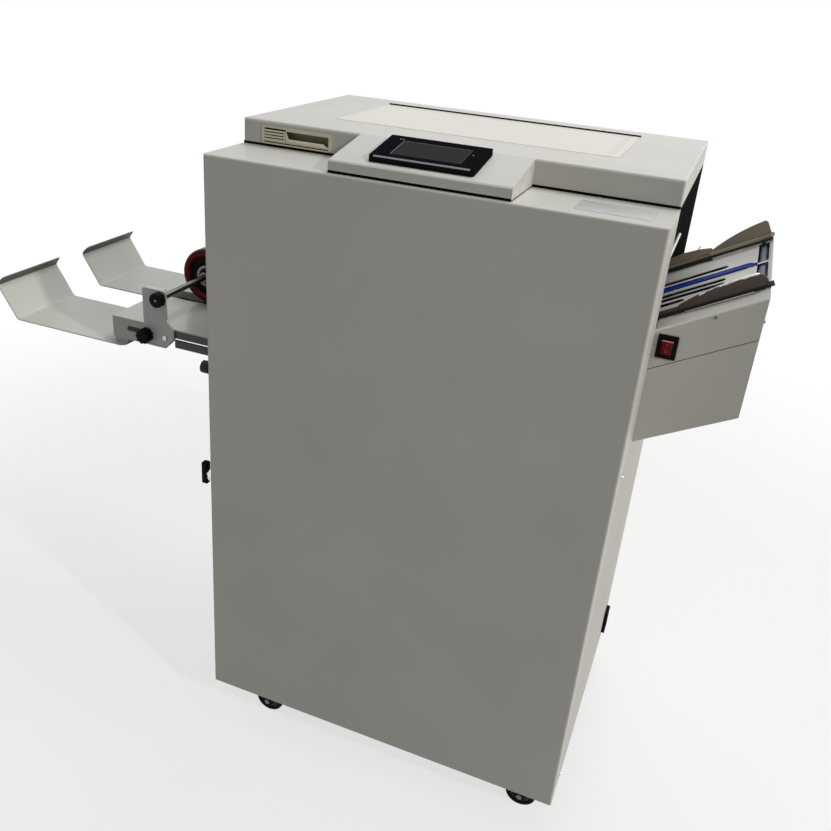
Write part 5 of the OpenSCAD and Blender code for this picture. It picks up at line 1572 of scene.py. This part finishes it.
@dataclass
class Delivery:
    """The delivery at the left: table, rails, green belts, rollers and the two trays."""

    belt_r: float = 0.01415
    belt_t: float = 0.002
    belt_w: float = 0.032
    tray_t: float = 0.002
    tray_lean: float = 0.037
    tray_lip: tuple[float, float] = (0.01, 0.014)
    tray_bend: float = 0.004
    tray_corner: float = 0.01
    tray_segments: int = 5
    bend_angle: float = 0.4
    lip_reach: float = 0.03

    def build(self) -> None:
        """Dress the delivery and make its belts and trays."""
        dress(TABLE_PAINT, "delivery_table")
        dress(RAIL_PAINT, "delivery_rails")
        dress(ALUMINIUM, "delivery_end_roller", "delivery_drive_roller")
        self.belts()
        for name in ("front_tray", "rear_tray"):
            self.tray(name)

    def belts(self) -> None:
        """The two delivery belts."""
        low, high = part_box("delivery_belts")
        reach, axis = self.belt_r + self.belt_t, (low.z + high.z) / 2
        loops = [band(Vector((low.x + reach, y, axis)), Vector((high.x - reach, y, axis)),
                      self.belt_r, self.belt_t, self.belt_w)
                 for y in (low.y + self.belt_w / 2, high.y - self.belt_w / 2)]
        piece(gather([(loop, [Matrix.Identity(4)]) for loop in loops]), "delivery_belt_bands", "cabinet",
              GREEN_BELT, "delivery_belts")

    def tray(self, node: str) -> None:
        """A bent tray with rounded bends, and with rounded corners but for the lip's rear one.

        Args:
            node: solid that it stands for.
        """
        low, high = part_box(node)
        t, (lip_d, lip_h) = self.tray_t, self.tray_lip
        floor, rim, wall_x = low.z + t / 2, high.z - t / 2, low.x + t / 2
        bend_x = wall_x + self.tray_lean
        path = ((high.x, floor), (bend_x, floor), (wall_x, rim - lip_h), (wall_x + lip_d, rim))
        bm = bmesh.new()
        _, edges = chain(bm, [(x, low.y, z) for x, z in path])
        pull(bm, edges, (0, high.y - low.y, 0))
        corners = [v for v in bm.verts if len(v.link_edges) == 2 and (v.co.y < low.y + t or v.co.x > bend_x)]
        round_corners(bm, corners, self.tray_corner, self.tray_segments)
        settle(soften(bm, self.tray_bend, self.tray_segments, self.bend_angle))
        bmesh.ops.solidify(bm, geom=bm.faces[:], thickness=t)
        settle(bm)
        # The lip is painted darker than the tray: painted shade.
        lip = ((low.x - t, low.y - t, rim - lip_h), (low.x + self.lip_reach, high.y + t, high.z + t))
        paint = PaintedLightCoat(node.replace("_", " ") + " paint", "tray_paint", TRAY_GREY, 0.44,
                            shade_boxes=(lip,), painted_shade=LIP_SHADE_GREY)
        piece(bm, node + "_sheet", "cabinet", paint, node)


@dataclass
class PressCarriage:
    """The sliding press: brackets, cross rod with its knobs and the two press wheels."""

    wheels: tuple[str, str] = ("press_wheel_front", "press_wheel_rear")
    rod_r: float = 0.005
    rod_in: float = 0.001
    rod_soft: float = 0.0005
    knob_r: float = 0.012
    knob_h: float = 0.012
    knob_in: float = 0.0001
    knob_flutes: int = 24
    knob_groove: float = 0.0004
    knob_soft: float = 0.0018
    cap_r: float = 0.0035
    cap_h: Point = (0.0004, 0.0008, 0.0009)
    cap_out: float = 0.0008
    collar_r: float = 0.009
    collar_w: float = 0.006
    clearance: float = 0.0003
    wheel_w: float = 0.028
    rim_r: float = 0.032
    ring_r: tuple[float, float] = (0.0135, 0.019)
    ring_in: float = 0.001
    ring_soft: float = 0.0008
    bore_room: float = 0.00006
    dish: float = 0.005
    tyre_round: float = 0.006
    soft: float = 0.0006
    dot_x: float = 0.0093
    dot_r: float = 0.002
    dot_h: float = 0.0003
    pin_x: float = 0.007
    pin_r: float = 0.0045
    pin_h: float = 0.0018
    pin_in: float = 0.0002

    def build(self) -> None:
        """Dress the brackets and make the rod, its knobs, the wheels and the pins' heads."""
        dress(BRACKET_PAINT, "press_brackets")
        self.cross_rod()
        self.knobs()
        for node in self.wheels:
            self.wheel(node)
        self.pin_heads()

    def on_rod(self, y: float) -> Matrix:
        """A place on the rod's axis, with Z along the rod."""
        axis = middle("press_rod")
        return Axis.Y.at((axis.x, y, axis.z))

    def cross_rod(self) -> None:
        """The steel cross rod with its collars."""
        low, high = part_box("press_rod")
        shaft = rod(self.rod_r, high.y - low.y - 2 * self.rod_in, 40, self.rod_soft)
        sleeve = soften(collar(self.rod_r, self.collar_r, 0.0, self.collar_w, 40), self.soft)
        sides = [y for near, far in map(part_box, self.wheels)
                 for y in (near.y - self.clearance - self.collar_w, far.y + self.clearance)]
        piece(gather([(shaft, [self.on_rod(low.y + self.rod_in)]), (sleeve, [self.on_rod(y) for y in sides])]),
              "cross_rod", "press_carriage", OILED_STEEL, "press_rod")

    def knobs(self) -> None:
        """The two black knobs on the rod's ends, with their bright caps."""
        low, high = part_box("press_rod")
        back = Matrix.Rotation(math.pi, 4, "X")
        ends = [self.on_rod(low.y + self.knob_in), self.on_rod(high.y - self.knob_in) @ back]
        grip = fluted(self.knob_r, self.knob_h, self.knob_flutes, self.knob_groove, self.knob_soft)
        piece(repeat(grip, ends), "rod_knobs", "press_carriage", BLACK_PLASTIC)
        cap = dome(self.cap_r, self.cap_r * 0.6, self.cap_h, 32)
        sink = Matrix.Translation((0, 0, self.cap_out)) @ back
        piece(repeat(cap, [end @ sink for end in ends]), "rod_knob_caps", "press_carriage", OILED_STEEL)

    def wheel(self, node: str) -> None:
        """One press wheel: red tyre, dark disc with its hub, and steel ring with its set screws.

        Args:
            node: solid that it stands for.
        """
        low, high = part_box(node)
        at = Axis.Y.at(middle(node))
        radius, half = (high.x - low.x) / 2, self.wheel_w / 2
        inner, outer = self.ring_r
        web, face = half - self.dish, half - self.ring_in
        tyre = soften(collar(self.rim_r, radius, -half, half, 96), self.tyre_round, 5)
        piece(moved(tyre, at), node + "_tyre", node, TYRE_RED, node)
        disc = soften(collar(outer, self.rim_r, -web, web, 72), self.soft)
        hub = soften(collar(self.rod_r + self.bore_room, inner, -half, half, 48), self.soft)
        piece(gather([(disc, [at]), (hub, [at])]), node + "_disc", node, DISC_DARK)
        ring = soften(collar(inner, outer, -face, face, 64), self.ring_soft, 3)
        dots = [at @ Matrix.Translation((self.dot_x, 0, side * half)) @ Matrix.Rotation(turn, 4, "X")
                for side, turn in ((-1, math.pi), (1, 0.0))]
        piece(gather([(ring, [at]), (screw(self.dot_r, self.dot_h), dots)]), node + "_ring", node, OILED_STEEL)

    def pin_heads(self) -> None:
        """Bright heads on the pins that run in the skirt's slots."""
        low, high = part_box("press_brackets")
        places = outward(middle("press_rod").x + self.pin_x, middle("clamp_knob").z,
                         low.y + self.pin_in, high.y - self.pin_in)
        piece(repeat(screw(self.pin_r, self.pin_h), places), "slot_pin_heads", "press_carriage", ZINC)


@dataclass
class SideFittings:
    """The clamp knob of the press, and the round knob and quarter-turn latch at the left."""

    clamp_r: float = 0.0125
    clamp_h: float = 0.016
    clamp_flutes: int = 9
    clamp_groove: float = 0.0017
    clamp_soft: float = 0.002
    stud_r: float = 0.003
    stud_in: float = 0.002
    knob_r: float = 0.0095
    knob_h: float = 0.013
    knob_flutes: int = 24
    knob_groove: float = 0.0005
    knob_soft: float = 0.0018
    neck_r: float = 0.006
    fix_r: float = 0.004
    soft: float = 0.0004
    gap: float = 0.0003
    handle: Point = (0.011, 0.012, 0.038)
    handle_soft: float = 0.0028
    rose: Profile = ((0.0, 0.0), (0.006, 0.0), (0.008, 0.004), (0.012, 0.006))
    rose_in: float = 0.001
    rose_soft: float = 0.0005

    def build(self) -> None:
        """Make the three fittings."""
        self.clamp()
        self.knob()
        self.latch()

    def clamp(self) -> None:
        """The fluted clamp knob on its stud."""
        low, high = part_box("clamp_knob")
        axis = middle("clamp_knob")
        at = Axis.Y.at((axis.x, low.y, axis.z))
        grip = fluted(self.clamp_r, self.clamp_h, self.clamp_flutes, self.clamp_groove, self.clamp_soft)
        piece(moved(grip, at), "clamp_grip", "clamp_knob", BLACK_PLASTIC, "clamp_knob")
        stud = rod(self.stud_r, high.y - low.y - self.stud_in, 32, self.soft)
        piece(moved(stud, at @ Matrix.Translation((0, 0, self.stud_in))), "clamp_stud", "clamp_knob", ROUND_STEEL)

    def knob(self) -> None:
        """The round knob on the left return of the front panel."""
        low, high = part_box("side_knob")
        axis = middle("side_knob")
        at = Axis.X.at((low.x, axis.y, axis.z))
        grip = fluted(self.knob_r, self.knob_h, self.knob_flutes, self.knob_groove, self.knob_soft)
        start = low.x + self.knob_h
        reach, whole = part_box("front_panel")[0].x - start - self.gap, high.x - start
        neck = soften(lathe(((0.0, 0.0), (self.neck_r, 0.0), (self.neck_r, reach), (self.fix_r, reach),
                             (self.fix_r, whole), (0.0, whole)), 40), self.soft)
        piece(gather([(grip, [at]), (neck, [at @ Matrix.Translation((0, 0, self.knob_h))])]),
              "side_knob_grip", "side_knob", GREY_PLASTIC, "side_knob")

    def latch(self) -> None:
        """The quarter-turn latch: chrome rose and black handle."""
        low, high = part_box("side_latch")
        axis = middle("side_latch")
        deep = self.handle[0]
        place = Matrix.Translation((low.x + deep / 2, axis.y, axis.z))
        piece(moved(block(self.handle, self.handle_soft, 4), place), "side_latch_handle", "side_latch",
              BLACK_PLASTIC, "side_latch")
        start = low.x + deep - self.rose_in
        reach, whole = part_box("front_panel")[0].x - start - self.gap, high.x - start
        turned = soften(lathe((*self.rose, (self.rose[-1][0], reach), (self.fix_r, reach), (self.fix_r, whole),
                               (0.0, whole)), 48), self.rose_soft)
        piece(moved(turned, Axis.X.at((start, axis.y, axis.z))), "side_latch_rose", "side_latch", CHROME)


@dataclass
class Caster:
    """One swivel caster: fork, wheel and the bright ends of its axle."""

    corner: str
    tread: float = 0.004
    hub_r: float = 0.0105
    hub_soft: float = 0.0005
    web_r: float = 0.018
    sink: float = 0.002
    bore: float = 0.00405
    cap_r: tuple[float, float] = (0.0046, 0.0032)
    cap_h: Point = (0.0006, 0.0014, 0.0017)
    cap_in: float = 0.0016

    def build(self) -> None:
        """Dress the fork and make the wheel and the axle's ends."""
        fork, wheel = "caster_fork_" + self.corner, "caster_wheel_" + self.corner
        dress(FORK_BLACK, fork)
        low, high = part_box(wheel)
        centre = middle(wheel)
        at = Axis.Y.at(centre)
        radius, half = (high.x - low.x) / 2, (high.y - low.y) / 2
        web = half - self.sink
        tyre = soften(collar(self.web_r, radius, -half, half, 72), self.tread, 4)
        piece(moved(tyre, at), wheel + "_tyre", wheel, CASTER_RUBBER, wheel)
        hub = soften(lathe(((self.bore, -half), (self.hub_r, -half), (self.hub_r, -web), (self.web_r, -web),
                            (self.web_r, web), (self.hub_r, web), (self.hub_r, half), (self.bore, half)),
                           48, True), self.hub_soft)
        piece(moved(hub, at), wheel + "_hub", wheel, GREY_PLASTIC)
        near, far = (corner.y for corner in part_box(fork))
        places = outward(centre.x, centre.z, near + self.cap_in, far - self.cap_in)
        piece(repeat(dome(*self.cap_r, self.cap_h, 28), places), fork + "_axle_ends", fork, OILED_STEEL)


@dataclass(frozen=True)
class Lamp:
    """A soft square lamp: its place, the point that it lights, its size in metres and its power in watts."""

    name: str
    at: Point
    aim: Point
    size: float
    power: float
    colour: Colour

    def build(self) -> None:
        """Hang the lamp."""
        data = bpy.data.lights.new(self.name, "AREA")
        data.size, data.energy, data.color = self.size, self.power, self.colour
        lamp = bpy.data.objects.new(self.name, data)
        lamp.matrix_world = facing(self.at, Vector(self.at) - Vector(self.aim))
        bpy.context.scene.collection.objects.link(lamp)


@dataclass
class Studio:
    """Camera, soft light and the pale floor."""

    eye: Point = (0.3617, -1.2150, 1.2084)
    right: Point = (0.9236, 0.3765, 0.0702)
    up: Point = (-0.2206, 0.3732, 0.9012)
    ahead: Point = (-0.3130, 0.8480, -0.4277)
    sensor: float = 36.0
    focal: float = 38.07
    shift: tuple[float, float] = (0.0227, -0.0355)
    floor_size: float = 30.0
    floor_tones: tuple[Colour, Colour] = (srgb(122, 122, 121), srgb(128, 128, 127))
    floor_pale: Colour = srgb(249, 249, 248)
    fade: tuple[float, float] = (0.9, 2.2)
    glow: float = 0.7
    ambient: float = 0.22
    lamps: tuple[Lamp, ...] = (
        Lamp("key lamp", (9.6, -4.0, 6.68), (0.0, 0.0, 0.8), 0.4, 440.0, (1.0, 0.95, 0.87)),
        Lamp("side lamp", (6.0, 0.35, 1.1), (0.3, 0.0, 0.7), 0.8, 52.0, (1.0, 0.97, 0.94)),
        Lamp("overhead lamp", (0.5, 0.9, 3.4), (0.0, 0.0, 0.8), 1.6, 42.0, (0.98, 0.99, 1.0)))

    def build(self) -> None:
        """Set the view, the camera, the world, the floor and the lamps."""
        bpy.context.scene.view_settings.view_transform = "Standard"
        self.camera()
        self.world()
        self.floor()
        for lamp in self.lamps:
            lamp.build()

    def camera(self) -> None:
        """The camera of the photograph's view."""
        data = bpy.data.cameras.new("photo camera")
        data.sensor_fit, data.sensor_width, data.lens = "HORIZONTAL", self.sensor, self.focal
        data.shift_x, data.shift_y = self.shift
        camera = bpy.data.objects.new("photo camera", data)
        turn = Matrix((self.right, self.up, -Vector(self.ahead))).transposed()
        camera.matrix_world = Matrix.Translation(self.eye) @ turn.to_4x4()
        bpy.context.scene.collection.objects.link(camera)
        bpy.context.scene.camera = camera

    def world(self) -> None:
        """Soft light from all round, white where the camera, a reflection or clear glass sees it."""
        world = bpy.data.worlds.new("studio")
        bpy.context.scene.world = world
        world.use_nodes = True
        nodes = Nodes(world.node_tree)
        back = nodes.tree.nodes["Background"]
        nodes.feed(back.inputs["Color"], (1.0, 1.0, 1.0))
        level = nodes.node("ShaderNodeMapRange", {}, {"Value": nodes.seen(), "To Min": self.ambient})
        nodes.feed(back.inputs["Strength"], level)

    def floor(self) -> None:
        """The pale floor, which keeps the object's shadow."""
        bm = bmesh.new()
        bmesh.ops.create_grid(bm, x_segments=1, y_segments=1, size=self.floor_size / 2)
        mesh = bpy.data.meshes.new("floor")
        bm.to_mesh(mesh)
        bm.free()
        shader = Shader("pale floor")
        grain = shader.noise(40.0, 2.0)
        shader.surface(shader.blend(grain, *self.floor_tones), 0.9)
        x, y, _ = shader.parts(shader.place())
        far = shader.step((x * x + y * y) ** 0.5, *self.fade)
        pale = shader.node("ShaderNodeBsdfDiffuse", {}, {"Color": self.floor_pale})
        glow = shader.node("ShaderNodeEmission", {}, {"Color": (1.0, 1.0, 1.0), "Strength": 1.0})
        shown = shader.node("ShaderNodeMixShader", {}, {0: far * (1 - self.glow) + self.glow, 1: pale, 2: glow})
        own = Value(shader, shader.principled.outputs[0])
        mix = shader.node("ShaderNodeMixShader", {}, {0: shader.seen(), 1: own, 2: shown})
        shader.feed(shader.tree.nodes["Material Output"].inputs["Surface"], mix)
        mesh.materials.append(shader.material)
        floor = bpy.data.objects.new("floor", mesh)
        bpy.context.scene.collection.objects.link(floor)


def main() -> None:
    """Build the object's sub-assemblies in order."""
    logging.basicConfig(level=logging.INFO, format="%(message)s")
    Studio().build()
    for part in (Cabinet(), Hood(), TouchScreen(), HoodLatch(), FeedTable(), PaperGuides(), RockerSwitch(),
                 MainsInlet(), InnerWorks(), Delivery(), PressCarriage(), SideFittings()):
        part.build()
    for corner in ("front_left", "front_right", "rear_left", "rear_right"):
        Caster(corner).build()


if __name__ == "__main__":
    main()
